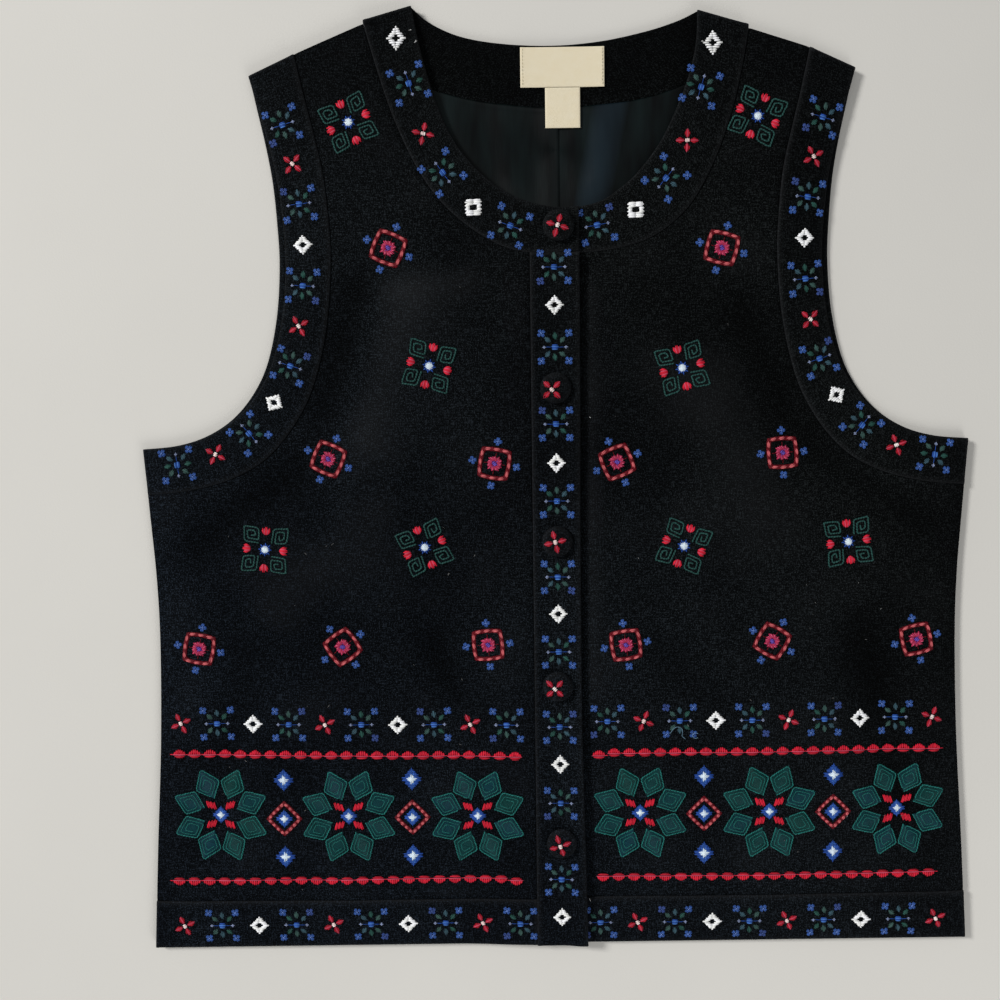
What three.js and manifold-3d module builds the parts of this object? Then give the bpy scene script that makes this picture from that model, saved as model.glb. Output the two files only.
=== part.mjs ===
// An embroidered folk vest of wool crepe, laid flat on a table, front up and buttoned.
// Millimetres. +X is to the right of someone looking down at it, +Y towards the neck, +Z up.
// The origin is on the table, under the middle of the vest's width and length.
// Left and right in the names are the wearer's: the right front is at -X and laps on top.

import * as THREE from "three";
import { mergeVertices } from "three/addons/utils/BufferGeometryUtils.js";
import Module from "manifold-3d";

// Thicknesses
const CLOTH = 2.0; // a panel, shell and lining together
const BAND = 2.5; // a folded band or placket
const THIN = 1.0; // lining, facing and labels where they show
const SEAM = 0.3; // gap between pieces that are sewn together
const LAP = BAND + SEAM; // rise of the lapping front over the placket under it

// Lines of the cut
const HEM_Y = -275.8;
const HEM_SEAM_Y = -246.5;
const NECK_SEAM_Y = 136.7; // where the plackets end and the neck bands begin
const PLACKET_HALF = 14; // half the width of a placket
const UNDERARM_Y = 0; // where the armhole seam meets the side seam
const SCOOP_Y = 132.5; // the armhole's deepest point
const BACK_SCOOP = 4; // the back armhole is cut this much fuller than the front

// How the front layer lies over the back
const ROLL = 18; // distance over which the front comes down to the back at an edge
const RISE = 2.0; // air and lining under the front, inside that distance
const NECK_LIFT = THIN + SEAM; // the front neck lies on the back's lining
const BODY_RISE = 1.4; // the middle of each front lies a little higher
const BODY_X = 115;
const BODY_WIDTH = 60;
const NECK_CENTRE = { x: 2, y: 235 };
const NECK_NEAR = 130;
const NECK_FAR = 190;
const LAP_FROM = -62; // the lapping front climbs from here to the placket seam
const LAP_TO = -15;

// Curves of the cut, each a row of points [x, y].
// The neck's free edge, from the right shoulder round the front to the left shoulder.
const NECK_EDGE = [
  [-79.6, 276.2], [-76.4, 259.1], [-72.3, 241.9], [-66.4, 222.9], [-60.0, 207.4],
  [-52.2, 194.3], [-40.5, 181.0], [-26.0, 170.4], [-10.0, 164.2], [7.0, 162.1],
  [26.0, 165.4], [38.5, 173.0], [48.8, 182.1], [61.2, 198.2], [70.4, 216.4],
  [78.4, 237.6], [82.0, 255.0], [82.8, 271.7],
];
// The seam of the neck bands, the same way round.
const NECK_SEAM = [
  [-107.1, 266.7], [-98.7, 237.6], [-91.4, 215.5], [-83.4, 196.5], [-75.6, 181.8],
  [-66.4, 168.7], [-55.4, 157.6], [-41.0, 146.8], [-28.0, 140.0], [-14.0, 136.7],
  [14.4, 136.7], [28.0, 137.6], [42.0, 139.9], [55.7, 144.6], [67.6, 152.3],
  [79.0, 163.7], [88.6, 179.9], [97.2, 200.0], [104.0, 222.0], [108.8, 244.0],
  [112.0, 261.6],
];
// The neck edge of the back, seen above the lining, and the seam of its band.
const BACK_NECK_EDGE = [
  [-79.6, 276.2], [-69.0, 267.3], [-51.5, 259.6], [-28.0, 255.4], [0.0, 254.0],
  [27.6, 256.0], [54.0, 261.2], [72.0, 266.7], [82.8, 271.7],
];
const BACK_NECK_SEAM = [
  [-107.1, 266.7], [-90.0, 247.5], [-66.0, 236.4], [-34.0, 229.4], [0.0, 227.5],
  [34.0, 229.2], [68.0, 235.8], [93.0, 245.8], [112.0, 261.6],
];
// The armhole's seam and free edge on the left side, from the side seam to the shoulder.
const ARM_SEAM = [
  [240.0, 0.0], [215.0, 2.4], [190.0, 9.0], [169.0, 21.0], [151.6, 41.2],
  [140.2, 64.3], [132.2, 96.5], [128.6, 132.5], [129.3, 157.5], [131.8, 182.9],
  [136.4, 205.4], [142.0, 228.8], [147.0, 250.5],
];
const ARM_EDGE = [
  [242.0, 27.0], [222.0, 28.8], [204.0, 34.0], [187.6, 43.8], [174.2, 58.5],
  [164.6, 77.0], [158.0, 104.0], [155.4, 133.0], [156.3, 157.0], [158.8, 180.0],
  [163.2, 201.0], [168.6, 221.0], [173.5, 239.0],
];
// The side seam on the left side, from the underarm to the hem.
const SIDE_SEAM = [
  [242.0, 27.0], [239.6, -10.0], [237.0, -50.0], [236.4, -90.0], [238.4, -150.0],
  [242.6, -215.0], [246.0, -275.8],
];
// The lapping placket's free edge, from the neck seam to the hem.
const LAP_EDGE = [
  [14.4, 136.4], [14.2, 40.0], [13.6, -40.0], [13.9, -140.0], [15.4, -220.0], [16.7, -276.3],
];

// Folds in the front layer: from x1, y1 to x2, y2, their width and their height over the cloth.
const FOLDS = [
  { x1: -96, y1: 116, x2: -50, y2: 122, width: 9, height: 0.9 },
  { x1: -114, y1: 118, x2: -134, y2: 48, width: 12, height: -1.3 },
  { x1: -74, y1: 104, x2: -120, y2: 30, width: 20, height: 1.2 },
  { x1: -74, y1: -88, x2: -61, y2: -122, width: 9, height: -1.0 },
  { x1: -150, y1: 16, x2: -212, y2: -30, width: 12, height: -1.1 },
  { x1: -186, y1: -96, x2: -214, y2: -206, width: 15, height: -1.0 },
  { x1: -104, y1: -10, x2: -168, y2: -66, width: 16, height: 0.7 },
  { x1: 22, y1: 112, x2: 21, y2: -128, width: 6, height: 0.7 },
  { x1: 110, y1: 102, x2: 140, y2: 34, width: 13, height: -1.2 },
  { x1: 84, y1: 66, x2: 118, y2: -20, width: 20, height: 1.0 },
  { x1: 152, y1: 22, x2: 216, y2: -22, width: 11, height: -1.0 },
  { x1: 178, y1: -84, x2: 210, y2: -196, width: 14, height: -1.1 },
  { x1: 60, y1: -96, x2: 96, y2: -132, width: 12, height: -0.8 },
];

// Buttons along the centre line, from the neck down: the place [x, y] of each.
const BUTTONS = [[2.4, 151.3], [0, 59.1], [0, -29.8], [-0.4, -115.9], [1.0, -210.9]];
const BUTTON_R = 9.5;
const BUTTON_H = 5.6;
const SHANK_R = 2.0;
const EYE_R = 2.4;

// The facing's lower edge, the lining's hidden lower edge and the labels inside the neck.
const FACING_EDGE = [
  [-112.0, 263.0], [-92.0, 243.4], [-62.0, 228.4], [-22.0, 221.0], [19.0, 220.2],
  [59.0, 225.6], [94.0, 240.4], [116.0, 258.6],
];
const LINING_EDGE = [
  [-90.0, 232.0], [-86.0, 214.0], [-76.0, 192.0], [-60.0, 171.0], [-36.0, 155.0],
  [-8.0, 149.5], [14.0, 149.5], [38.0, 155.0], [60.0, 168.0], [80.0, 190.0],
  [90.0, 212.0], [94.0, 230.0],
];
const PLEAT_X = 3; // the fold of the lining's centre pleat, with its cloth towards -X
const PLEAT_WIDTH = 15;
const PLEAT_RISE = 0.8;
const LABEL = { x: 6, y: 241.6, width: 48, height: 22.4 };
const TAB = { x: 6, y: 218.8, width: 20, height: 22.6 };

// Columns of a wall, from its seam to its other edge: place, and share of the thickness kept.
const BAND_COLUMNS = [
  { at: 0.0, full: 1.0 },
  { at: 0.45, full: 1.0 },
  { at: 0.86, full: 0.94 },
  { at: 1.0, full: 0.5 },
];
const PLACKET_COLUMNS = [
  { at: 0.0, full: 1.0 },
  { at: 0.3, full: 1.0 },
  { at: 0.62, full: 1.0 },
  { at: 0.92, full: 0.95 },
  { at: 1.0, full: 0.6 },
];
const FLAT_COLUMNS = [
  { at: 0.0, full: 1.0 },
  { at: 1.0, full: 1.0 },
];
const PANEL_COLUMNS = [
  { at: 0.0, full: 1.0 },
  { at: 0.05, full: 1.0 },
  { at: 0.1, full: 1.0 },
  { at: 0.15, full: 1.0 },
  { at: 0.21, full: 1.0 },
  { at: 0.3, full: 1.0 },
  { at: 0.4, full: 1.0 },
  { at: 0.5, full: 1.0 },
  { at: 0.6, full: 1.0 },
  { at: 0.7, full: 1.0 },
  { at: 0.8, full: 1.0 },
  { at: 0.88, full: 1.0 },
  { at: 0.95, full: 0.96 },
  { at: 1.0, full: 0.75 },
];

// Rows along each stretch of a panel's edge
const HEM_ROWS = 13;
const CHEST_ROWS = 10;
const YOKE_ROWS = 11;
const LAP_ROWS = 2;
const PLACKET_ROWS = 28;

const wasm = await Module();
wasm.setup();

const spline = (points) => new THREE.SplineCurve(points.map(([x, y]) => new THREE.Vector2(x, y)));
const mirrored = (points) => points.map(([x, y]) => [-x, y]);
const point = (x, y) => new THREE.Vector2(x, y);
const smooth = (from, to, value) => THREE.MathUtils.smoothstep(value, from, to);

// Where along a curve its x or y first passes a value, by halving. The coordinate only grows or
// only falls along the curve.
function parameterAt(curve, axis, value) {
  const rising = curve.getPointAt(1)[axis] > curve.getPointAt(0)[axis];
  let low = 0;
  let high = 1;
  for (let i = 0; i < 30; i++) {
    const middle = (low + high) / 2;
    if (curve.getPointAt(middle)[axis] < value === rising) low = middle;
    else high = middle;
  }
  return (low + high) / 2;
}

// Points at even steps along the stretch of a curve between two values of x or y.
function stretch(curve, axis, from, to, steps) {
  const a = parameterAt(curve, axis, from);
  const b = parameterAt(curve, axis, to);
  return Array.from({ length: steps + 1 }, (_, i) => curve.getPointAt(a + ((b - a) * i) / steps));
}

// Points at even steps between two points.
function line(from, to, steps) {
  return Array.from({ length: steps + 1 }, (_, i) => from.clone().lerp(to, i / steps));
}

// Several stretches as one, each without the first point of its own.
const joined = (first, ...rest) => [...first, ...rest.flatMap((points) => points.slice(1))];

// A row of points moved sideways, to the left of its direction.
function offset(points, distance) {
  return points.map((p, i) => {
    const before = points[Math.max(i - 1, 0)];
    const after = points[Math.min(i + 1, points.length - 1)];
    const along = after.clone().sub(before).normalize();
    return point(p.x - along.y * distance, p.y + along.x * distance);
  });
}

// The front's outline on one side, shoulder, armhole, side and hem, as points.
const OUTLINE = [
  point(79, 275),
  ...spline(ARM_EDGE).getPoints(36).reverse(),
  ...spline(SIDE_SEAM).getPoints(12).slice(1),
  point(0, HEM_Y),
];

// Distance from a place to a stretch between two points.
function toStretch(x, y, a, b) {
  const dx = b.x - a.x;
  const dy = b.y - a.y;
  const t = THREE.MathUtils.clamp(((x - a.x) * dx + (y - a.y) * dy) / (dx * dx + dy * dy), 0, 1);
  return Math.hypot(x - a.x - t * dx, y - a.y - t * dy);
}

function outlineDistance(x, y) {
  let least = Infinity;
  for (let i = 1; i < OUTLINE.length; i++) {
    least = Math.min(least, toStretch(Math.abs(x), y, OUTLINE[i - 1], OUTLINE[i]));
  }
  return least;
}

// Height of the front layer's underside: on the back at the outline, on the lining at the neck,
// a little higher in the middle of each front, with the folds added.
function frontHeight(x, y) {
  const settled = 1 - Math.exp(-outlineDistance(x, y) / ROLL);
  const nearNeck = 1 - smooth(NECK_NEAR, NECK_FAR, Math.hypot(x - NECK_CENTRE.x, y - NECK_CENTRE.y));
  const body = BODY_RISE * Math.exp(-(((Math.abs(x) - BODY_X) / BODY_WIDTH) ** 2));
  let z = CLOTH + SEAM + NECK_LIFT * nearNeck + (RISE - 0.7 * nearNeck + body) * settled;
  for (const f of FOLDS) {
    const d = toStretch(x, y, point(f.x1, f.y1), point(f.x2, f.y2));
    z += f.height * Math.exp(-((d / f.width) ** 2)) * settled;
  }
  return z;
}

// The same for the lapping front, which climbs over the placket under it.
const lapHeight = (x, y) => frontHeight(x, y) + LAP * smooth(LAP_FROM, LAP_TO, x);
const onTable = () => 0;
const onBack = () => CLOTH + SEAM;

// A closed wall between two rows of points, one column of the table after another. height gives
// its underside, and thickness is a number or a function of the place.
function wall(fromEdge, toEdge, columns, height, thickness) {
  const rows = fromEdge.length;
  const across = columns.length;
  const thick = typeof thickness === "number" ? () => thickness : thickness;
  const under = [];
  const over = [];
  for (let i = 0; i < rows; i++) {
    for (const { at, full } of columns) {
      const p = fromEdge[i].clone().lerp(toEdge[i], at);
      const z = height(p.x, p.y);
      under.push(p.x, p.y, z);
      over.push(p.x, p.y, z + thick(p.x, p.y) * full);
    }
  }
  const place = (i, j) => i * across + j;
  const top = rows * across;
  const index = [];
  for (let i = 0; i < rows - 1; i++) {
    for (let j = 0; j < across - 1; j++) {
      const [a, b, c, d] = [place(i, j), place(i, j + 1), place(i + 1, j + 1), place(i + 1, j)];
      index.push(a, c, b, a, d, c, top + a, top + b, top + c, top + a, top + c, top + d);
    }
  }
  const rim = [
    ...Array.from({ length: across - 1 }, (_, j) => place(0, j)),
    ...Array.from({ length: rows - 1 }, (_, i) => place(i, across - 1)),
    ...Array.from({ length: across - 1 }, (_, j) => place(rows - 1, across - 1 - j)),
    ...Array.from({ length: rows - 1 }, (_, i) => place(rows - 1 - i, 0)),
  ];
  rim.forEach((a, k) => {
    const b = rim[(k + 1) % rim.length];
    index.push(a, b, top + b, a, top + b, top + a);
  });
  const geometry = new THREE.BufferGeometry();
  geometry.setAttribute("position", new THREE.Float32BufferAttribute([...under, ...over], 3));
  geometry.setIndex(index);
  return facingOut(geometry);
}

// The geometry with its faces turned outwards, by the sign of its volume.
function facingOut(geometry) {
  const position = geometry.attributes.position;
  const index = geometry.index.array;
  const [a, b, c] = [new THREE.Vector3(), new THREE.Vector3(), new THREE.Vector3()];
  let volume = 0;
  for (let i = 0; i < index.length; i += 3) {
    a.fromBufferAttribute(position, index[i]);
    b.fromBufferAttribute(position, index[i + 1]);
    c.fromBufferAttribute(position, index[i + 2]);
    volume += a.dot(b.cross(c));
  }
  if (volume < 0) index.reverse();
  geometry.computeVertexNormals();
  return geometry;
}

// A flat piece of even thickness over a closed outline.
function slab(outline, thickness, z) {
  const shape = new THREE.Shape(outline);
  const geometry = new THREE.ExtrudeGeometry(shape, { depth: thickness, bevelEnabled: false });
  return geometry.translate(0, 0, z);
}

// A closed geometry as a solid, with its shared corners merged.
function solid(geometry) {
  const bare = geometry.clone();
  bare.deleteAttribute("normal");
  bare.deleteAttribute("uv");
  const merged = mergeVertices(bare, 1e-3);
  return new wasm.Manifold(
    new wasm.Mesh({
      numProp: 3,
      vertProperties: new Float32Array(merged.attributes.position.array),
      triVerts: new Uint32Array(merged.index.array),
    }),
  );
}

// A wall with a round eye through it for each button that passes it.
function pierced(geometry, places) {
  let body = solid(geometry);
  for (const [x, y] of places) {
    const eye = new THREE.CylinderGeometry(EYE_R, EYE_R, 40, 12).rotateX(Math.PI / 2);
    body = body.subtract(solid(eye.translate(x, y, 10)));
  }
  const mesh = body.getMesh();
  const result = new THREE.BufferGeometry();
  const positions = [];
  for (let i = 0; i < mesh.numVert; i++) {
    positions.push(...mesh.vertProperties.slice(i * mesh.numProp, i * mesh.numProp + 3));
  }
  result.setAttribute("position", new THREE.Float32BufferAttribute(positions, 3));
  result.setIndex(Array.from(mesh.triVerts));
  result.computeVertexNormals();
  return result;
}

// A domed button turned round its own axis, with a shank through the lapping placket.
function button([x, y]) {
  const shankFoot = frontHeight(x, y) + BAND + SEAM;
  const seat = LAP; // from the shank's foot to the disc's underside
  const profile = [
    [0, 0], [SHANK_R, 0], [SHANK_R, seat], [BUTTON_R - 1.6, seat + 0.4],
    [BUTTON_R, seat + 1.5], [BUTTON_R - 0.5, seat + 2.9], [BUTTON_R - 2.2, seat + 4.2],
    [BUTTON_R - 5.2, seat + BUTTON_H - 0.4], [0, seat + BUTTON_H],
  ].map(([r, z]) => point(r, z));
  return new THREE.LatheGeometry(profile, 20).rotateX(Math.PI / 2).translate(x, y, shankFoot);
}

const wool = new THREE.MeshStandardMaterial({ color: 0x23272b, roughness: 0.95, metalness: 0 });
const satin = new THREE.MeshStandardMaterial({ color: 0x2b3134, roughness: 0.45, metalness: 0 });
const tape = new THREE.MeshStandardMaterial({ color: 0xe9e4d6, roughness: 0.8, metalness: 0 });
const garment = new THREE.Group();

function add(name, geometry, material) {
  const mesh = new THREE.Mesh(geometry, material);
  mesh.name = name;
  garment.add(mesh);
}

// Edges that two pieces share are worked out once, as the same points.
const neckEdge = spline(NECK_EDGE);
const neckSeam = spline(NECK_SEAM);
const [shoulderRight, shoulderLeft] = [NECK_SEAM[0][0], NECK_SEAM.at(-1)[0]];
const [neckRight, neckLeft] = [NECK_EDGE[0][0], NECK_EDGE.at(-1)[0]];
const lapEnd = LAP_EDGE[0][0];

// One side of the front: its panel, hem band and armhole bands, for side -1, the wearer's right,
// or 1, the left.
function side(sign, word, height, neckPoints) {
  const flip = (points) => (sign < 0 ? mirrored(points) : points);
  const armSeam = spline(flip(ARM_SEAM));
  const armEdge = spline(flip(ARM_EDGE));
  const sideSeam = spline(flip(SIDE_SEAM));
  const shoulderY = ARM_SEAM.at(-1)[1];
  const tipY = ARM_EDGE.at(-1)[1];
  const seamPoints = joined(
    stretch(armSeam, "y", UNDERARM_Y, SCOOP_Y, CHEST_ROWS),
    stretch(armSeam, "y", SCOOP_Y, shoulderY, YOKE_ROWS),
  );
  const edgePoints = joined(
    stretch(armEdge, "y", ARM_EDGE[0][1], SCOOP_Y, CHEST_ROWS),
    stretch(armEdge, "y", SCOOP_Y, tipY, YOKE_ROWS),
  );

  // The panel's rows run from the placket and neck seam out to the side and armhole seam.
  const centreX = sign * (PLACKET_HALF + SEAM);
  const low = HEM_SEAM_Y + SEAM;
  const inner = joined(
    line(point(centreX, low), point(centreX, UNDERARM_Y), HEM_ROWS),
    line(point(centreX, UNDERARM_Y), point(centreX, NECK_SEAM_Y - SEAM), CHEST_ROWS),
    offset(neckPoints, sign * -SEAM),
  );
  const outer = joined(
    stretch(sideSeam, "y", low, UNDERARM_Y - SEAM, HEM_ROWS),
    offset(seamPoints, sign * SEAM),
  );
  add(`front_${word}`, wall(inner, outer, PANEL_COLUMNS, height, CLOTH), wool);

  add(
    `armhole_band_${word}_front`,
    wall(seamPoints, edgePoints, BAND_COLUMNS, height, BAND),
    wool,
  );

  // The back armhole is cut fuller, most at its deepest point.
  const fuller = (points) =>
    points.map((p, i) => {
      const share = Math.sin((Math.PI * i) / (points.length - 1));
      return point(p.x + sign * BACK_SCOOP * share, p.y);
    });
  const backSeam = fuller(seamPoints);
  add(
    `armhole_band_${word}_back`,
    wall(backSeam, fuller(edgePoints), FLAT_COLUMNS, onTable, CLOTH),
    wool,
  );

  // The hem band runs from the placket to the side seam.
  const hemSide = parameterAt(sideSeam, "y", HEM_SEAM_Y);
  const hemTop = sideSeam.getPointAt(hemSide);
  const hemFoot = sideSeam.getPointAt(1);
  const hemSteps = PANEL_COLUMNS.map(({ at }) => at);
  const hemRow = (y, end) => hemSteps.map((at) => point(centreX + (end - centreX) * at, y));
  add(
    `hem_band_${word}`,
    wall(hemRow(HEM_SEAM_Y, hemTop.x), hemRow(HEM_Y, hemFoot.x), BAND_COLUMNS, height, BAND),
    wool,
  );
  return { backSeam, sideSeam, hemTop, hemFoot };
}

const neckRightPoints = stretch(neckSeam, "x", -PLACKET_HALF, shoulderRight, YOKE_ROWS);
const neckLeftPoints = stretch(neckSeam, "x", PLACKET_HALF, shoulderLeft, YOKE_ROWS);
const right = side(-1, "right", lapHeight, neckRightPoints);
const left = side(1, "left", frontHeight, neckLeftPoints);

// Neck bands: each runs from its shoulder to the far side of the centre, and the right one laps.
function neckBand(seamPoints, shoulder, start, end, height) {
  const seam = joined(
    line(point(end, NECK_SEAM_Y), seamPoints[0], LAP_ROWS),
    seamPoints,
  );
  const edge = joined(
    stretch(neckEdge, "x", end, start, LAP_ROWS),
    stretch(neckEdge, "x", start, shoulder, YOKE_ROWS),
  );
  return wall(seam, edge, BAND_COLUMNS, height, BAND);
}
add(
  "neck_band_right",
  pierced(
    neckBand(neckRightPoints, neckRight, -PLACKET_HALF, lapEnd, lapHeight),
    BUTTONS.slice(0, 1),
  ),
  wool,
);
add(
  "neck_band_left",
  neckBand(neckLeftPoints, neckLeft, PLACKET_HALF, -PLACKET_HALF, frontHeight),
  wool,
);

// The plackets, from the neck seam to the hem.
const lapEdge = spline(LAP_EDGE);
const placketTop = NECK_SEAM_Y - SEAM;
const lapFoot = LAP_EDGE.at(-1)[1];
add(
  "placket_top",
  pierced(
    wall(
      line(point(-PLACKET_HALF, placketTop), point(-PLACKET_HALF, lapFoot), PLACKET_ROWS),
      stretch(lapEdge, "y", placketTop, lapFoot, PLACKET_ROWS),
      PLACKET_COLUMNS,
      lapHeight,
      BAND,
    ),
    BUTTONS.slice(1),
  ),
  wool,
);
add(
  "placket_under",
  wall(
    line(point(PLACKET_HALF, placketTop), point(PLACKET_HALF, HEM_Y), PLACKET_ROWS),
    line(point(-PLACKET_HALF, placketTop), point(-PLACKET_HALF, HEM_Y), PLACKET_ROWS),
    PLACKET_COLUMNS,
    frontHeight,
    BAND,
  ),
  wool,
);

// The back lies flat on the table: its bands, and the panel inside their seams.
const backNeckEdge = spline(BACK_NECK_EDGE).getSpacedPoints(24);
const backNeckSeam = spline(BACK_NECK_SEAM).getSpacedPoints(24);
add("neck_band_back", wall(backNeckSeam, backNeckEdge, FLAT_COLUMNS, onTable, CLOTH), wool);
add(
  "hem_band_back",
  wall(
    [right.hemTop, left.hemTop],
    [right.hemFoot, left.hemFoot],
    FLAT_COLUMNS,
    onTable,
    CLOTH,
  ),
  wool,
);
const backSide = (end) =>
  stretch(end.sideSeam, "y", HEM_SEAM_Y + SEAM, UNDERARM_Y - SEAM, HEM_ROWS);
const backOutline = [
  ...backSide(right),
  ...offset(right.backSeam, -SEAM).slice(1),
  ...offset(backNeckSeam, -SEAM),
  ...offset(left.backSeam, SEAM).slice(1).reverse(),
  ...backSide(left).reverse(),
];
add("back", slab(backOutline, CLOTH, 0), wool);

// Inside the neck: the facing, the lining with its centre pleat, and two bare labels.
const facingEdge = spline(FACING_EDGE).getSpacedPoints(24);
add(
  "back_neck_facing",
  wall(facingEdge, offset(backNeckEdge, -SEAM), FLAT_COLUMNS, onBack, THIN),
  satin,
);
const liningLow = spline(LINING_EDGE);
const facingLine = spline(FACING_EDGE);
const stations = [
  -90, -85, -78, -68, -56, -42, -27, PLEAT_X - PLEAT_WIDTH, PLEAT_X - 4,
  PLEAT_X, PLEAT_X + 0.8, 20, 38, 54, 68, 80, 88, 94,
];
const at = (curve, x) => curve.getPointAt(parameterAt(curve, "x", x));
const pleat = (x) =>
  THIN + PLEAT_RISE * smooth(PLEAT_X - PLEAT_WIDTH, PLEAT_X - 4, x) * (x > PLEAT_X + 0.4 ? 0 : 1);
add(
  "back_lining",
  wall(
    stations.map((x) => at(liningLow, x)),
    stations.map((x) => at(facingLine, x).sub(point(0, SEAM))),
    FLAT_COLUMNS,
    onBack,
    pleat,
  ),
  satin,
);
const labelHeight = CLOTH + SEAM + THIN + SEAM;
for (const [name, size, rise] of [["label", LABEL, 0], ["size_tab", TAB, PLEAT_RISE]]) {
  const plate = new THREE.BoxGeometry(size.width, size.height, THIN);
  add(name, plate.translate(size.x, size.y, labelHeight + rise + THIN / 2), tape);
}

BUTTONS.forEach((place, i) => add(`button_${i + 1}`, button(place), wool));

export default garment;
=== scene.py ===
"""An embroidered folk vest of wool crepe, laid flat, front up and buttoned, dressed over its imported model.

The tables and functions work in millimetres in the plan, and a mesh is scaled to metres as it is made.
+X is to the right of someone looking down at the vest, +Y towards the neck and +Z up from the table.
Left and right in the names are the wearer's: the right front is at -X and laps on top.
"""

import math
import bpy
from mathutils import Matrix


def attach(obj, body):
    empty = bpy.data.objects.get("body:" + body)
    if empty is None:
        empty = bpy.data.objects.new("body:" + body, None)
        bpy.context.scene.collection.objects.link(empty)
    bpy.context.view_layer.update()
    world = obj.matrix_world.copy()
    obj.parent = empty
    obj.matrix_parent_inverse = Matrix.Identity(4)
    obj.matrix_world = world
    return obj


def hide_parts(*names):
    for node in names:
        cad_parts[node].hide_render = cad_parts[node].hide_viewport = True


bl_info = {
    "name": "Embroidered Vest",
    "version": (1, 0, 0),
    "blender": (4, 5, 0),
    "location": "View3D > Sidebar > Vest",
    "description": "Wool crepe vest with embroidered bands, laid flat over its packed model",
    "category": "Add Mesh",
}

import bpy
import numpy as np
from mathutils import Matrix, Vector

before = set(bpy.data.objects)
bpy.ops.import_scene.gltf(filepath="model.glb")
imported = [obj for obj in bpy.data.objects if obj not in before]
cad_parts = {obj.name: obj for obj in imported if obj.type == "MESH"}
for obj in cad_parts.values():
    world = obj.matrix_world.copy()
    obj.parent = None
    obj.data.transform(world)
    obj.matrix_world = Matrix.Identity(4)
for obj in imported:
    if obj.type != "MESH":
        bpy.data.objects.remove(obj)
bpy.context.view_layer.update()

MM = 0.001

# Thicknesses
CLOTH = 2.0  # a panel, shell and lining together
BAND = 2.5  # a folded band or placket
THIN = 1.0  # lining and facing where they show
SEAM = 0.3  # gap between pieces that are sewn together
LAP = BAND + SEAM  # rise of the lapping front over the placket under it
LABEL_THICK = 0.6

# Lines of the cut
SHOULDER_STEP = 1.8  # how far a neck band's seam passes the panel's shoulder
HEM_Y = -275.8
HEM_SEAM_Y = -246.5
NECK_SEAM_Y = 136.7
PLACKET_HALF = 14.0
UNDERARM_Y = 0.0
SCOOP_Y = 132.5  # the armholes' deepest point
BACK_SCOOP = 4.0  # how far the back's armholes are moved out at most
CHEST_SHARE = 10 / 21  # share of the armhole's rows that lie below its deepest point

# How the front layer lies over the back
ROLL = 18.0  # distance from the outline at which two thirds of its rise is reached
RISE = 2.0
LEAST_RISE = 0.05
NECK_LIFT = THIN + SEAM  # added round the neck, where the lining lies between
NECK_EASE = 0.7  # taken from the rise there
NECK_CENTRE = (2.0, 235.0)
NECK_NEAR = 130.0  # both fade between these distances from the neck's centre
NECK_FAR = 190.0
BODY_RISE = 1.4  # a bell over each front: its height, middle and width
BODY_X = 115.0
BODY_WIDTH = 60.0
LAP_FROM = -62.0  # where the right front starts to climb over the placket, and where it is up
LAP_TO = -15.0
CURL_FROM = 2.0  # where the placket's free edge starts to stand up, and how far it does
PLACKET_CURL = 1.7

# Curves of the cut, each a row of points (x, y)
NECK_EDGE = [
    (-79.6, 276.2), (-76.4, 259.1), (-72.3, 241.9), (-66.4, 222.9), (-60.0, 207.4),
    (-52.2, 194.3), (-40.5, 181.0), (-26.0, 170.4), (-10.0, 164.2), (7.0, 162.1),
    (26.0, 165.4), (38.5, 173.0), (48.8, 182.1), (61.2, 198.2), (70.4, 216.4),
    (78.4, 237.6), (82.0, 255.0), (82.8, 271.7),
]
NECK_SEAM = [
    (-107.1, 266.7), (-98.7, 237.6), (-91.4, 215.5), (-83.4, 196.5), (-75.6, 181.8),
    (-66.4, 168.7), (-55.4, 157.6), (-41.0, 146.8), (-28.0, 140.0), (-14.0, 136.7),
    (14.4, 136.7), (28.0, 137.6), (42.0, 139.9), (55.7, 144.6), (67.6, 152.3),
    (79.0, 163.7), (88.6, 179.9), (97.2, 200.0), (104.0, 222.0), (108.8, 244.0),
    (112.0, 261.6),
]
BACK_NECK_EDGE = [
    (-79.6, 276.2), (-69.0, 267.3), (-51.5, 259.6), (-28.0, 255.4), (0.0, 254.0),
    (27.6, 256.0), (54.0, 261.2), (72.0, 266.7), (82.8, 271.7),
]
BACK_NECK_SEAM = [
    (-107.1, 266.7), (-90.0, 247.5), (-66.0, 236.4), (-34.0, 229.4), (0.0, 227.5),
    (34.0, 229.2), (68.0, 235.8), (93.0, 245.8), (112.0, 261.6),
]
ARM_SEAM = [
    (240.0, 0.0), (215.0, 2.4), (190.0, 9.0), (169.0, 21.0), (151.6, 41.2),
    (140.2, 64.3), (132.2, 96.5), (128.6, 132.5), (129.3, 157.5), (131.8, 182.9),
    (136.4, 205.4), (142.0, 228.8), (147.0, 250.5),
]
ARM_EDGE = [
    (242.0, 27.0), (222.0, 28.8), (204.0, 34.0), (187.6, 43.8), (174.2, 58.5),
    (164.6, 77.0), (158.0, 104.0), (155.4, 133.0), (156.3, 157.0), (158.8, 180.0),
    (163.2, 201.0), (168.6, 221.0), (173.5, 239.0),
]
SIDE_SEAM = [
    (242.0, 27.0), (239.6, -10.0), (237.0, -50.0), (236.4, -90.0), (238.4, -150.0),
    (242.6, -215.0), (246.0, -275.8),
]
LAP_EDGE = [
    (14.4, 136.4), (14.2, 40.0), (13.6, -40.0), (13.9, -140.0), (15.4, -220.0), (16.7, -276.3),
]
FACING_EDGE = [
    (-112.0, 263.0), (-92.0, 243.4), (-62.0, 228.4), (-22.0, 221.0), (19.0, 220.2),
    (59.0, 225.6), (94.0, 240.4), (116.0, 258.6),
]
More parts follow.
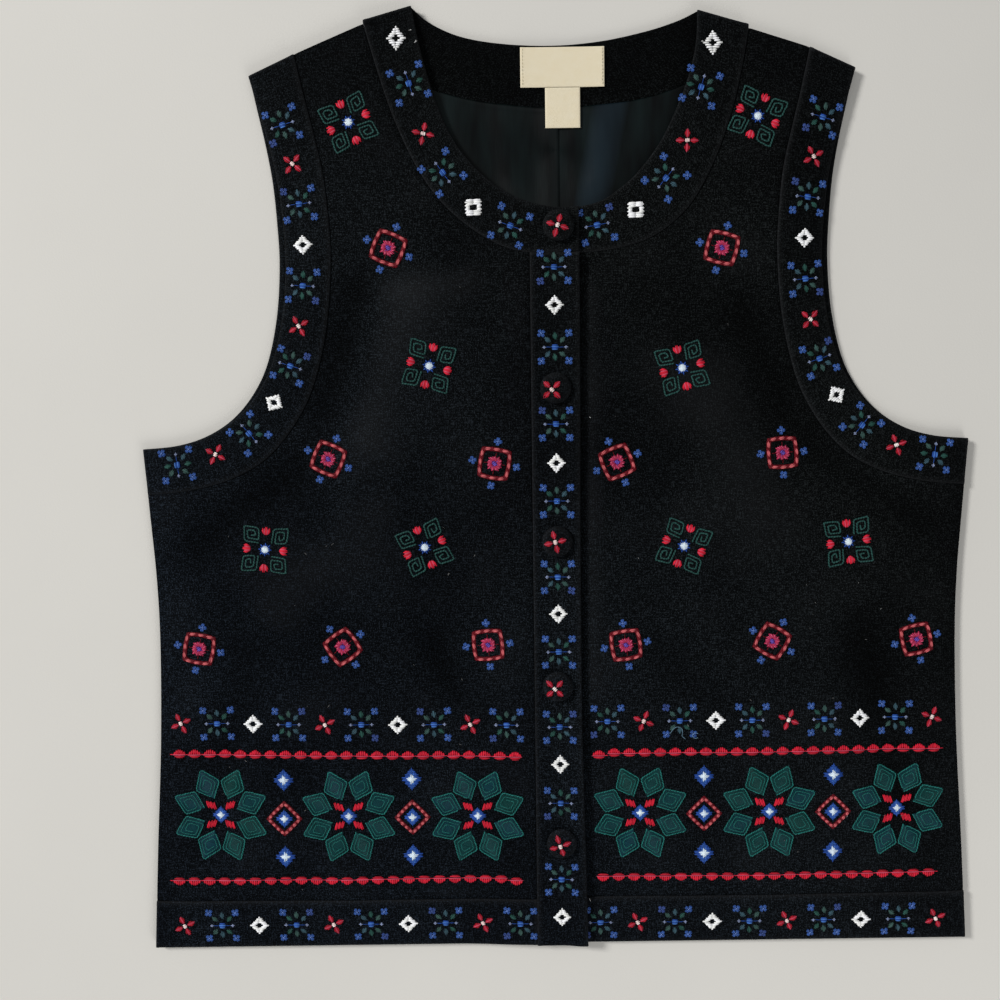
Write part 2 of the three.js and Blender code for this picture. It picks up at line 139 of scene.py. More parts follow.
LINING_EDGE = [
    (-90.0, 232.0), (-86.0, 214.0), (-76.0, 192.0), (-60.0, 171.0), (-36.0, 155.0),
    (-8.0, 149.5), (14.0, 149.5), (38.0, 155.0), (60.0, 168.0), (80.0, 190.0),
    (90.0, 212.0), (94.0, 230.0),
]

# Folds in the front layer: from (x, y) to (x, y), width and height over the cloth
FOLDS = [
    ((-96, 116), (-50, 122), 9, 0.9),
    ((-114, 118), (-134, 48), 12, -1.3),
    ((-83, 110), (-108, 34), 15, 1.3),
    ((-74, -88), (-61, -122), 9, -1.0),
    ((-150, 16), (-212, -30), 12, -1.1),
    ((-186, -96), (-214, -206), 15, -1.0),
    ((-104, -10), (-168, -66), 16, 0.7),
    ((22, 112), (21, -128), 6, 0.7),
    ((110, 102), (140, 34), 13, -1.2),
    ((84, 66), (118, -20), 20, 1.0),
    ((152, 22), (216, -22), 11, -1.0),
    ((178, -84), (210, -196), 14, -1.1),
    ((60, -96), (96, -132), 12, -0.8),
]
FOLD_SHARE = 1.55  # the heights above are multiplied by this
RIDGE_PAINTED_LIGHT = 0.07  # painted highlight: paler for each millimetre of a fold's rise
TROUGH_PAINTED_SHADE = 0.25  # and painted shade: darker for each millimetre of a trough
# Shallow waves that a pressed cloth keeps: wave length, direction in degrees, start and height
WAVES = [
    (61, 12, 0.4, 0.16), (83, 71, 1.9, 0.18), (47, 128, 3.1, 0.12), (38, 40, 5.2, 0.08),
    (29, 97, 0.9, 0.07), (23, 158, 2.2, 0.05), (17, 62, 4.4, 0.035), (71, 100, 3.9, 0.14),
]
# Soft folds in the lining: x where they cross the line FOLD_Y, lean, width and rise
LINING_FOLDS = [
    (29, 0.12, 8, 2.0), (50, 0.4, 8, 1.2), (13, 0.0, 4, 0.5), (-26, -0.1, 9, 1.6), (-50, -0.35, 8, 1.1),
]
FOLD_Y = 200
FACING_Y = 228  # the folds flatten towards this line, under the facing
FREE_FROM = 60  # and between these distances from the neck's centre, under the front bands
FREE_TO = 80
# A painted sheen, a pale streak where the lining's fold catches the light: a point on the fold, its lean
# from +Y and half width
PAINTED_SHEEN_FOLD = ((28.0, 193.0), 0.2, 11.0)

# Buttons: x and y, the turn of the flower on each, and how far that lies from the middle in x and y
BUTTONS = [
    (2.4, 151.3, -17, -0.7, -0.8), (0.0, 59.1, 44, -2.45, -1.1), (0.0, -29.8, 13, -1.3, -0.1),
    (-0.4, -115.9, 46, -2.0, -0.3), (1.0, -210.9, 19, -1.1, 0.0),
]
BUTTON_R = 8.9
BUTTON_H = 5.6
BUTTON_RIM = 1.5  # height at which the dome meets the rim
BUTTON_UNDER = [(2.5, 0.15), (0.9, 0.5), (0.2, 1.0)]  # below it: how far in, and height over the seat
BUTTON_SIDES = 56
BUTTON_RINGS = 15
# The cloth gathered at the rim: height of its waves and how many go round
GATHERS = ((0.12, 11), (0.07, 17))
GATHER_FROM = 0.55  # share of the radius where the waves begin
BUTTON_WEAR_AND_SHEEN = (0.03, 0.14)  # paler for rubbed wool and a painted sheen: a little in the middle, and more at the rim
SHANK_R = 2.0
FLOWER_ON_BUTTON = 1.02  # size of its flower over those on the bands

# The lining's pleat and the labels
PLEAT_X = 3.0  # its folded edge
PLEAT_WIDTH = 15.0
PLEAT_RISE = 0.8
PLEAT_FLAT = 4.0  # how far from its edge it has reached its rise
PLEAT_EDGE = 0.9  # width over which it falls again
LABEL = (6.0, 241.6, 48.0, 22.4)  # middle x and y, width and height
TAB = (6.0, 218.8, 20.0, 22.6)
LABEL_RISE = {"size_tab": PLEAT_RISE, "label": 0.25}  # over the facing
LABEL_LIFT = 0.35  # of the label's free corners
SEWING_COLOUR = "d8cdb2"
# Its sewing: stitches' length, slant and width, their pitch, and how far in from the sides and top
SEWN = {"length": 1.3, "slant": 0.25, "width": 0.42, "pitch": 1.9, "side": 1.3, "top": 1.4}

# Where the embroidery lies
PLACKET_SNOW_Y = [128.1, 82.6, 38.4, -6.4, -51.1, -95.5, -140.7, -186.8, -233.7]
PLACKET_DIAMOND_Y = [106.6, 15.8, -72.9, -163.2, -257.2]
PLACKET_DRIFT = (0.2, 0.0028)  # the motifs' x: a start, and its growth down the placket
NECK_WORK = [
    ("diamond", -88.3, 257.6), ("snow", -81.4, 232.3), ("flower", -73.9, 204.4),
    ("snow", -63.2, 182.5), ("square", -45.9, 162.7), ("snow", -24.9, 151.7),
    ("snow", 25.0, 152.0), ("square", 47.1, 160.2), ("snow", 64.5, 177.8),
    ("flower", 76.6, 198.6), ("snow", 84.4, 227.9), ("diamond", 91.2, 252.6),
]
ROUND = ("snow", "flower", "snow", "diamond")  # the order along a band
ARM_START_Y = 213.6
ARM_PITCH = 23.5
ARM_DROP = (3.0, 2.2)  # the first motif's drop, and the steps over which that fades to a third
ARM_END = 12  # room left under the last motif
ARM_MIDDLE = (0.41, 0.59)  # shares of the seam and of the edge in the motifs' line
ARM_FLOWER_TURN = 40
NECK_FLOWER_TURN = {-1: 78, 1: 88}
# Each row of the border as a start, its pitch, its height and how that grows outwards, by the side
ROW = {-1: (30.9, 21.6, -139.9, 0.014), 1: (29.2, 21.5, -138.7, 0.0)}
HEM_ROW = {-1: (24.2, 22.55, -261.4, 0.0), 1: (24.3, 22.5, -262.7, 0.0)}
UPPER_LENSES = {-1: (21.5, 9.13, -158.4, 0.014), 1: (19.4, 9.11, -157.5, 0.0)}
LOWER_LENSES = {-1: (21.6, 9.25, -233.6, 0.0), 1: (21.4, 9.34, -234.1, 0.0)}
FIRST_DIP = 1.3  # the left front's first lens under the row lies lower
FLOWERS = {-1: (48.9, 77.15, -195.6, 0.014), 1: (48.4, 77.25, -194.4, 0.0)}
BETWEEN = {-1: (88.0, 76.8), 1: (86.6, 77.4)}  # the columns of diamonds: a start and their pitch
BETWEEN_Y = {-1: (-171.7, -195.1, -218.6), 1: (-172.6, -195.3, -219.5)}
FLOWER_TURN = {-1: 25, 1: -22}  # of the small red flowers in the row over the border
HEM_FLOWER_TURN = 25
ROW_END = 230  # how far out each of them reaches
HEM_END = 232
LENSES_END = 236
# Square spirals on the panels: x, y and the angle of one corner
PINWHEELS = [
    (-116.3, 211.3, 68), (-73.0, 73.0, 31), (-77.6, -32.8, 67), (73.5, 69.8, 59),
    (74.7, -34.0, 25), (116.7, 211.5, 22), (-171.5, -32.8, 40), (171.6, -32.9, 52),
]
# Red squares: x, y and the angle of one corner
SQUARES = [
    (-95.2, 140.4, 22), (-132.9, 19.9, 21), (-127.2, -91.3, 80), (-35.9, 15.9, 35),
    (-41.2, -91.1, 50), (35.8, 15.8, 67), (40.4, -92.5, 53), (96.4, 137.9, 30),
    (132.2, 20.0, 48), (126.8, -91.3, 15), (-212.7, -91.6, 34), (212.6, -91.6, 58),
]
# A loose thread, and the loop at its end: middle and radius
LOOSE_THREAD = [
    (65.9, -146.4), (68.3, -142.9), (70.6, -142.0), (73.0, -142.9), (73.6, -145.2), (73.3, -147.6),
    (75.4, -149.4),
]
LOOP = (81.3, -147.3, 1.8)
LOOP_ARC = (0.6, 5.6)  # where it starts and ends, in radians
LOOSE_TINT = (0.75, 1.1, 0.95)  # the thread's colour over the mist of the snowflakes
LINT_SPLIT = -8  # x up to which a tuft lies on the right front
# Tufts of lint: x, y and how many fibres
LINT = [(-76.8, 255.6, 5), (-79.4, 262.0, 3), (85.2, 253.4, 4), (17.8, -247.9, 2), (19.6, 42.0, 1)]
# Short fibres strewn over each front: how many, between which x, and between which y nearer to the
# centre than ARMHOLE_X and beyond it
SPECKS = 26
SPECK_X = (30, 215)
SPECK_Y = ((-240, 130), (-240, -20))
ARMHOLE_X = 120

# Grids
STEP = 2.6  # spacing of a panel's rows and columns
BAND_STEP = 2.2
LABEL_STEP = 1.6
LINING_STEP = 2.5  # between its columns, and closer together over the pleat
PLEAT_STEP = 1.0
PLEAT_COLUMNS = (0.0, 0.3, 0.6, 0.9, 1.4)  # from the pleat's edge on
LINING_ROWS = 44
TURN = 1.4  # width over which a cloth edge rounds over
TURN_STEPS = 4
SMOOTH_STEPS = 24
QUARTER = 1 - np.cos(np.linspace(0, np.pi / 2, TURN_STEPS + 1))
GAP = 0.04  # between two cloths in the plan
UNDERARM_SKIP = 3  # steps of the back's armhole left out, as the side seam already reaches there
EDGE_LEFT = {"seam": 0.6, "pressed": 0.8, "fold": 0.06}  # share of the thickness left at an edge
RUB_AND_LIGHT_DEPTH = 1.0  # how far in an edge's rubbing and painted light have faded to a third
# The welt along an edge: how far in, its width and rise, and how much the edge's colour is changed: above 0
# paler, for rubbed wool and a painted highlight along the edge, below 0 darker, for painted shade in the
# pressed groove beside a seam
WELT = {"seam": (1.5, 1.2, 0.28, 0.3), "pressed": (0.0, 1.7, -0.35, -0.25), "fold": (0.0, 1.0, 0.0, 0.22)}
# What lies along the edges of a piece
EDGES = ("near", "far", "first", "last")
PANEL_EDGES = dict.fromkeys(EDGES, "pressed")
LABEL_EDGES = dict.fromkeys(EDGES, "fold")
BACK_BAND_EDGES = {"near": "seam", "far": "fold"}
FACING_EDGES = {"near": "seam", "far": "seam"}
FACING_PAINTED_SHADE = -0.5  # painted shade on the facing, which lies in shadow inside the neck: below 0 for a darker wool
BAND_EDGES = {"near": "seam", "far": "fold", "first": "seam", "last": "seam"}


def linear(code):
    """A colour written as six hexadecimal digits, as scene-linear red, green and blue."""
    channels = [int(code[k : k + 2], 16) / 255 for k in (0, 2, 4)]
    return tuple(c / 12.92 if c <= 0.04045 else ((c + 0.055) / 1.055) ** 2.4 for c in channels)


# ------------------------------------------------------------------ lines in the plan


class Line:
    """A line in the plan, measured along its length.

    A smooth one is a uniform Catmull-Rom curve: between two points it is the cubic whose slope at
    each of them is half the way between that point's neighbours."""

    def __init__(self, points, smooth=True):
        points = np.asarray(points, float)
        if smooth:
            held = np.vstack([points[:1], points, points[-1:]])
            a, b, c, d = (held[k : len(held) - 3 + k, None] for k in range(4))
            t = np.linspace(0, 1, SMOOTH_STEPS, endpoint=False)[:, None]
            out, into = (c - a) / 2, (d - b) / 2
            cubic = (2 * b - 2 * c + out + into) * t**3 + (3 * c - 3 * b - 2 * out - into) * t**2
            points = np.vstack([(cubic + out * t + b).reshape(-1, 2), points[-1:]])
        self.points = points
        steps = np.hypot(*np.diff(points, axis=0).T)
        self.along = np.concatenate([[0], np.cumsum(steps)])
        self.length = self.along[-1]

    def at(self, distance):
        """Places at distances along the line."""
        return np.stack([np.interp(distance, self.along, self.points[:, k]) for k in (0, 1)], -1)

    def where(self, axis, value):
        """Distance at which x (0) or y (1) has a value. It only grows or only falls along the line."""
        reach = self.points[:, axis]
        if reach[-1] < reach[0]:
            return float(np.interp(value, reach[::-1], self.along[::-1]))
        return float(np.interp(value, reach, self.along))

    def stretch(self, start, end):
        """The part between two distances, in steps of about 1 mm."""
        count = max(2, int(abs(end - start)) + 1)
        return Line(self.at(np.linspace(start, end, count)), smooth=False)

    def shifted(self, distance):
        """The line moved sideways, to the left of its direction."""
        way = np.gradient(self.points, axis=0)
        way /= np.linalg.norm(way, axis=1, keepdims=True)
        return Line(self.points + distance * way[:, ::-1] * (-1, 1), smooth=False)

    def heading(self, distance):
        """Direction at a distance, as an angle in degrees."""
        x, y = self.at(distance + 1) - self.at(distance - 1)
        return math.degrees(math.atan2(y, x))

    def nearest(self, x, y):
        """Distance of the line's point that is nearest to a place."""
        return self.along[np.argmin(np.hypot(*(self.points - (x, y)).T))]


def straight(*points):
    """A line of straight stretches."""
    return Line(points, smooth=False)


def flipped(points, sign):
    """Points of the left side, or their mirror images on the right for a sign of -1."""
    return [(sign * x, y) for x, y in points]


def smooth_step(low, high, value):
    """A share that grows from 0 at low to 1 at high, level at both: 3 t squared less 2 t cubed."""
    t = np.clip((value - low) / (high - low), 0, 1)
    return t * t * (3 - 2 * t)


def distance_to(points, x, y):
    """Least distance from places to a run of straight stretches."""
    least = np.full(np.shape(x), np.inf)
    for (ax, ay), (bx, by) in zip(points, points[1:]):
        dx, dy = bx - ax, by - ay
        t = np.clip(((x - ax) * dx + (y - ay) * dy) / (dx * dx + dy * dy), 0, 1)
        least = np.minimum(least, np.hypot(x - ax - t * dx, y - ay - t * dy))
    return least


# ------------------------------------------------------------------ how the cloth lies


def outline():
    """The left half of the vest's outline: shoulder, armhole, side and hem."""
    arm, side = Line(ARM_EDGE), Line(SIDE_SEAM)
    arm_marks, side_marks = np.linspace(arm.length, 0, 37), np.linspace(0, side.length, 13)
    return np.vstack([[(79.0, 275.0)], arm.at(arm_marks), side.at(side_marks[1:]), [(0.0, HEM_Y)]])


OUTLINE = outline()


def fold_relief(x, y):
    """Height of the folds alone: a bell along each fold and a few shallow sine waves."""
    relief = 0.0 * x
    for start, end, width, height in FOLDS:
        relief = relief + FOLD_SHARE * height * np.exp(-((distance_to((start, end), x, y) / width) ** 2))
    for length, way, start, height in WAVES:
        along = x * math.cos(math.radians(way)) + y * math.sin(math.radians(way))
        relief = relief + height * np.sin(2 * np.pi * along / length + start)
    return relief


def fold_painted_light(x, y):
    """Painted light on a front's nap: a painted highlight paler in proportion to a fold's rise, and painted
    shade darker in its troughs.
    """
    relief = fold_relief(x, y)
    return np.where(relief > 0, RIDGE_PAINTED_LIGHT, TROUGH_PAINTED_SHADE) * relief


def front_height(x, y):
    """Height of the front layer's underside.

    On the back at the outline, on the lining at the neck and a little higher in the middle of each
    front: a rise, a bell over each front and the folds, which together grow from nothing at the
    outline as one less an exponential of the distance."""
    settled = 1 - np.exp(-distance_to(OUTLINE, np.abs(x), y) / ROLL)
    from_neck = np.hypot(x - NECK_CENTRE[0], y - NECK_CENTRE[1])
    near_neck = 1 - smooth_step(NECK_NEAR, NECK_FAR, from_neck)
    body = BODY_RISE * np.exp(-(((np.abs(x) - BODY_X) / BODY_WIDTH) ** 2))
    relief = RISE - NECK_EASE * near_neck + body + fold_relief(x, y)
    return CLOTH + SEAM + NECK_LIFT * near_neck + np.maximum(relief, LEAST_RISE) * settled


def lap_height(x, y):
    """The same for the right front, which climbs over the placket under it."""
    return front_height(x, y) + LAP * smooth_step(LAP_FROM, LAP_TO, x)


def placket_height(x, y):
    """The buttoned placket: its free edge stands up a little along its fold."""
    return lap_height(x, y) + PLACKET_CURL * smooth_step(CURL_FROM, PLACKET_HALF, x)


def over(height, thickness):
    """The top of a cloth piece as a surface to stitch on."""
    return lambda x, y: height(x, y) + thickness


# Each front's side, name and height
FRONTS = ((-1, "right", lap_height), (1, "left", front_height))


def on_table(x, y):
    """The table's own height, which is nothing."""
    return 0 * x


def on_back(x, y):
    """The inside of the back: soft folds run down the lining and flatten under the facing and bands."""
    folds = sum(
        rise * np.exp(-(((x - place - lean * (y - FOLD_Y)) / width) ** 2))
        for place, lean, width, rise in LINING_FOLDS
    )
    free = 1 - smooth_step(FREE_FROM, FREE_TO, np.hypot(x - NECK_CENTRE[0], y - NECK_CENTRE[1]))
    return CLOTH + SEAM + folds * smooth_step(FACING_Y, FOLD_Y, y) * free


# ------------------------------------------------------------------ meshes


def fill(items, key, values, kind=np.float32):
    """One value, or one row of them, for each item of a part of a mesh."""
    items.foreach_set(key, values.astype(kind).ravel())


def put_mesh(name, vertices, faces, material, uv=None, colour=None, wear_and_light=None):
    """A piece from its vertices in millimetres and groups of faces, each an array of corners."""
    corners = np.concatenate([group.ravel() for group in faces])
    sizes = np.concatenate([np.full(len(group), group.shape[1]) for group in faces])
    starts = np.concatenate([[0], np.cumsum(sizes)[:-1]])
    mesh = bpy.data.meshes.new(name)
    mesh.vertices.add(len(vertices))
    mesh.loops.add(len(corners))
    mesh.polygons.add(len(sizes))
    fill(mesh.vertices, "co", np.asarray(vertices) * MM)
    fill(mesh.loops, "vertex_index", corners, np.int32)
    fill(mesh.polygons, "loop_start", starts, np.int32)
    fill(mesh.polygons, "use_smooth", np.ones(len(sizes)), bool)
    if uv is not None:
        fill(mesh.uv_layers.new(name="cloth").uv, "vector", uv[corners])
    if colour is not None:
        fill(mesh.attributes.new("thread", "FLOAT_COLOR", "POINT").data, "color", colour)
    if wear_and_light is not None:
        fill(mesh.attributes.new("wear_and_light", "FLOAT", "POINT").data, "value", wear_and_light)
    mesh.update(calc_edges=True)
    if mesh.validate():
        raise RuntimeError(f"{name}: its mesh had faults")
    mesh.materials.append(material)
    piece = bpy.data.objects.new(name, mesh)
    bpy.context.scene.collection.objects.link(piece)
    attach(piece, "root")
    return piece


def grid_faces(rows, columns, top, closed=False):
    """Four-cornered faces of a grid of vertices that is numbered row by row from top."""
    k = top + np.arange(rows * columns).reshape(rows, columns)
    if closed:
        k = np.hstack([k, k[:, :1]])
    return np.stack([k[:-1, :-1], k[:-1, 1:], k[1:, 1:], k[1:, :-1]], -1).reshape(-1, 4)


def closed_sheet(place, under, over):
    """Vertices and faces of a closed sheet: one grid of places at two heights, joined round its rim."""
    rows, columns = place.shape[:2]
    count = rows * columns
    vertices = np.vstack([
        np.dstack([place, over[..., None]]).reshape(-1, 3),
        np.dstack([place, under[..., None]]).reshape(-1, 3),
    ])
    k = np.arange(count).reshape(rows, columns)
    rim = np.concatenate([k[0, :-1], k[:-1, -1], k[-1, :0:-1], k[:0:-1, 0]])
    ahead = np.roll(rim, -1)
    top = grid_faces(rows, columns, 0)
    faces = np.vstack([
        top, top[:, ::-1] + count, np.stack([ahead, rim, rim + count, ahead + count], -1)
    ])
    across = np.diff(place, axis=1)[:-1]
    along = np.diff(place, axis=0)[:, :-1]
    area = across[..., 0] * along[..., 1] - across[..., 1] * along[..., 0]
    if area.sum() < 0:
        faces = faces[:, ::-1]
    return vertices, [faces], abs(area.sum())


def paired(stretches, step):
    """Rows of points on two lines at once: each pair of stretches has the same number of rows."""
    rows = []
    for near, far in stretches:
        count = max(1, round(max(near.length, far.length) / step))
        share = np.linspace(0, 1, count + 1)[1 if rows else 0 :]
        rows.append(np.stack([near.at(share * near.length), far.at(share * far.length)], 1))
    return np.concatenate(rows)


def ruled(stretches, step):
    """A grid of places between two lines, finer where its edges turn, and how far in they lie.

    Each row is straight, from the near line to the far one. The depths are the distances from the
    near, far, first and last edges."""
    rows = paired(stretches, step)
    turn = TURN * QUARTER

    def turned(edge, inner):
        way = (inner - edge) / np.linalg.norm(inner - edge, axis=-1, keepdims=True)
        return edge + way * turn[:, None, None]

    rows = np.concatenate([turned(rows[0], rows[1]), rows[1:-1], turned(rows[-1], rows[-2])[::-1]])
    inside = np.full(len(rows) - len(turn), np.inf)
    first = np.concatenate([turn, inside])[:, None]
    near, far = rows[:, 0], rows[:, 1]
    length = np.linalg.norm(far - near, axis=1)[:, None]
    count = max(2, round(length.max() / step))
    even = TURN + (length - 2 * TURN) * np.linspace(0, 1, count + 1)[1:-1]
    across = np.hstack([turn + 0 * length, even, length - turn[::-1]])
    place = near[:, None] + (far - near)[:, None] * (across / length)[..., None]
    return place, {"near": across, "far": length - across, "first": first, "last": first[::-1]}


def filled(left, right, bottom, top, step):
    """A grid of places inside four lines: each is the sum of its places between the two sides and
    between bottom and top, less its place between the four corners. Depths as for ruled."""
    turn = TURN * QUARTER

    def shares(length):
        even = np.linspace(TURN, length - TURN, round(length / step))[1:-1]
        return np.concatenate([turn, even, length - turn[::-1]])

    width, height = bottom.length, max(left.length, right.length)
    u, v = shares(width) / width, shares(height) / height
    u3, v3 = u[None, :, None], v[:, None, None]
    low, high = bottom.at(u * bottom.length)[None], top.at(u * top.length)[None]
    west, east = left.at(v * left.length)[:, None], right.at(v * right.length)[:, None]
    corners = (1 - v3) * ((1 - u3) * low[:, :1] + u3 * low[:, -1:]) + v3 * (
        (1 - u3) * high[:, :1] + u3 * high[:, -1:]
    )
    place = (1 - v3) * low + v3 * high + (1 - u3) * west + u3 * east - corners
    across = u[None] * width + 0 * v[:, None]
    along = v[:, None] * height + 0 * u[None]
    depths = {"near": across, "far": width - across, "first": along, "last": height - along}
    return place, depths


def cloth(name, grid, height, thickness, edges, finish, **facts):
    """A closed cloth piece over a grid of places, laid at a height.

    Its half thickness falls to a share of itself at each edge along a quarter ellipse, a small
    share at a folded edge and a larger one at a seam. A bell along each edge raises a band's seam
    into a welt and presses a panel down beside it."""
    place, depths = grid
    x, y = place[..., 0], place[..., 1]
    half = thickness(x, y) / 2 if callable(thickness) else thickness / 2 + 0 * x
    middle = height(x, y) + half
    welt = 0 * x
    # tone carries painted light: the folds' painted highlights and shade, and the facing's painted shade
    tone = facts.pop("tone", 0.0)
    wear_and_light = tone(x, y) if callable(tone) else tone + 0 * x
    for edge, kind in edges.items():
        inside = 1 - np.clip(depths[edge] / TURN, 0, 1)
        half = half * (EDGE_LEFT[kind] + (1 - EDGE_LEFT[kind]) * np.sqrt(1 - inside**2))
        place_in, width, rise, rub_and_painted_light = WELT[kind]
        welt = welt + rise * np.exp(-(((depths[edge] - place_in) / width) ** 2))
        # along each edge: paler for rubbed wool with a painted highlight, and darker for painted shade
        # beside a pressed seam
        wear_and_light = wear_and_light + rub_and_painted_light * np.exp(-depths[edge] / RUB_AND_LIGHT_DEPTH)
    vertices, faces, area = closed_sheet(place, middle - half, middle + half + welt)
    if facts.pop("strip", False):
        rows = np.linalg.norm(np.diff(place, axis=0), axis=-1).sum(0).max()
        flat = (np.linalg.norm(place[:, -1] - place[:, 0], axis=-1).max(), rows)
        down = np.cumsum(np.linalg.norm(np.diff(place.mean(1), axis=0), axis=-1))
        uv = np.dstack(np.broadcast_arrays(depths["near"], np.concatenate([[0], down])[:, None]))
    else:
        flat = np.ptp(place.reshape(-1, 2), axis=0)
        uv = place
    uv = np.tile(uv.reshape(-1, 2) * MM, (2, 1))
    wear_and_light = np.tile(wear_and_light.ravel(), 2)
    piece = put_mesh(f"{name}_cloth", vertices, faces, finish_of(finish), uv=uv, wear_and_light=wear_and_light)
    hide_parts(name)
    size = tuple(float(s) * MM for s in flat)
    min(area * MM**2, size[0] * size[1])


def revolved(profile, sides):
    """A closed surface of revolution: rings of the profile's (radius, height), with a pole at each end."""
    angle = np.linspace(0, 2 * np.pi, sides, endpoint=False)
    rings = np.array([(r, z) for r, z in profile if r > 0])
    shape = np.stack([
        rings[:, :1] * np.cos(angle), rings[:, :1] * np.sin(angle), rings[:, 1:] + 0 * angle
    ], -1).reshape(-1, 3)
    count = len(shape)
    vertices = np.vstack([shape, [(0, 0, profile[0][1]), (0, 0, profile[-1][1])]])
    low = np.arange(sides)
    high = low + count - sides
    faces = [
        grid_faces(len(rings), sides, 0, closed=True),
        np.stack([np.full(sides, count), np.roll(low, -1), low], -1),
        np.stack([np.full(sides, count + 1), high, np.roll(high, -1)], -1),
    ]
    return vertices, faces


# ------------------------------------------------------------------ stitches

# Columns of a table of stitches
X1, Y1, X2, Y2, WIDTH, LIFT, ARCH = range(7)
TINT = slice(7, 10)
# A stitch's rings: place along it, share of its width, share of its arch
RINGS = np.array([(0.10, 0.72, 0.25), (0.5, 1.0, 1.0), (0.90, 0.72, 0.25)])
SIDES = 5
FLATNESS = 0.72  # a thread's height over its width
SEATING = 0.18  # how far a thread's middle lies over the cloth, and its ends below that,
END_DIP = 0.3  # as shares of its height
TIP_DIP = 0.6  # share of the end rings' arch that the tips lose
SHORT = 3.0  # a stitch shorter than this arches less
ROUND_THREAD = 2.0  # the thread's second map coordinate, once round it
# Small differences between stitches: of their ends, widths and shades
STRAY = 0.07
WIDTHS = (0.9, 1.1)
SHADES = (0.82, 1.2)
CROWDING = 1.2  # width of a block's stitches over their spacing
OVERLAP = 0.12  # share of its length by which a stem stitch passes its ends


def stitches(start, end, width, colour, lift=0.0, arch=0.22):
    """Stitches from places to places, as rows of a table."""
    start, end = np.broadcast_arrays(np.atleast_2d(start), np.atleast_2d(end))
    count = len(start)
    single = [np.broadcast_to(value, count) for value in (width, lift, arch)]
    return np.column_stack([start, end, *single, np.broadcast_to(colour, (count, 3))]).astype(float)


def placed(work, x, y, turn=0.0):
    """A table of stitches turned by degrees and moved."""
    c, s = math.cos(math.radians(turn)), math.sin(math.radians(turn))
    moved = work.copy()
    for k in (X1, X2):
        moved[:, k : k + 2] = work[:, k : k + 2] @ np.array([(c, s), (-s, c)]) + (x, y)
    return moved


def fourfold(work, turn=0):
    """Four copies of a table of stitches round the origin."""
    return [placed(work, 0, 0, 90 * k + turn) for k in range(4)]


def block(x, y, length, breadth, profile, colour, turn=0.0, **how):
    """Parallel stitches side by side, each as long as its share in the profile."""
    share = np.array(profile)
    count = len(share)
    side = (np.arange(count) - (count - 1) / 2) * breadth / count
    ends = share * length / 2
    work = stitches(
        np.stack([-ends, side], -1), np.stack([ends, side], -1), breadth / count * CROWDING, colour, **how
    )
    return placed(work, x, y, turn)


def satin(side_a, side_b, spacing, width, colour, **how):
    """Stitches laid side by side from one line to another."""
    a, b = straight(*side_a), straight(*side_b)
    count = max(2, round(max(a.length, b.length) / spacing) + 1)
    share = (np.arange(count) + 0.5) / count
    return stitches(a.at(share * a.length), b.at(share * b.length), width, colour, **how)


def stem(points, length, width, colour, slant=0.0, **how):
    """A rope of short stitches along a line, each a little slanted and overlapping the next."""
    line = straight(*points)
    count = max(1, round(line.length / length))
    marks = np.linspace(0, line.length, count + 1)
    way = line.at(marks[1:]) - line.at(marks[:-1])
    left = way[:, ::-1] * (-1, 1) * slant
    start = line.at(np.maximum(marks[:-1] - OVERLAP * length, 0)) - left
    end = line.at(np.minimum(marks[1:] + OVERLAP * length, line.length)) + left
    return stitches(start, end, width, colour, **how)


def rounded_square(radius, power, angles):
    """Points on a square with soft corners: its radius over the power norm of the direction."""
    c, s = np.cos(angles), np.sin(angles)
    size = radius / (np.abs(c) ** power + np.abs(s) ** power) ** (1 / power)
    return np.stack([size * c, size * s], -1)


def spiral(corners, inradius, spacing, sides):
    """Corners of a spiral whose sides run along those of a polygon round the origin.

    Side k keeps a side's direction and comes one spacing nearer to the middle with each turn, and
    a corner is where two following sides meet."""
    corners = np.array(corners, float)
    way = np.roll(corners, -1, axis=0) - corners
    normal = way[:, ::-1] * (1, -1) / np.linalg.norm(way, axis=1, keepdims=True)
    normal *= np.sign((normal * corners).sum(1, keepdims=True))
    points = [corners[0]]
    for k in range(1, sides + 1):
        pair = normal[[(k - 1) % 4, k % 4]]
        reach = [inradius - spacing * (side // 4) for side in (k - 1, k)]
        points.append(np.linalg.solve(pair, reach))
    return np.array(points)


def blunted(points, cut):
    """A line with each corner but its ends cut off at a distance from it."""
    before, here, after = points[:-2], points[1:-1], points[2:]
    pairs = []
    for other in (before, after):
        way = other - here
        length = np.linalg.norm(way, axis=1, keepdims=True)
        pairs.append(here + way * np.minimum(cut / length, 0.35))
    return np.vstack([points[:1], np.stack(pairs, 1).reshape(-1, 2), points[-1:]])


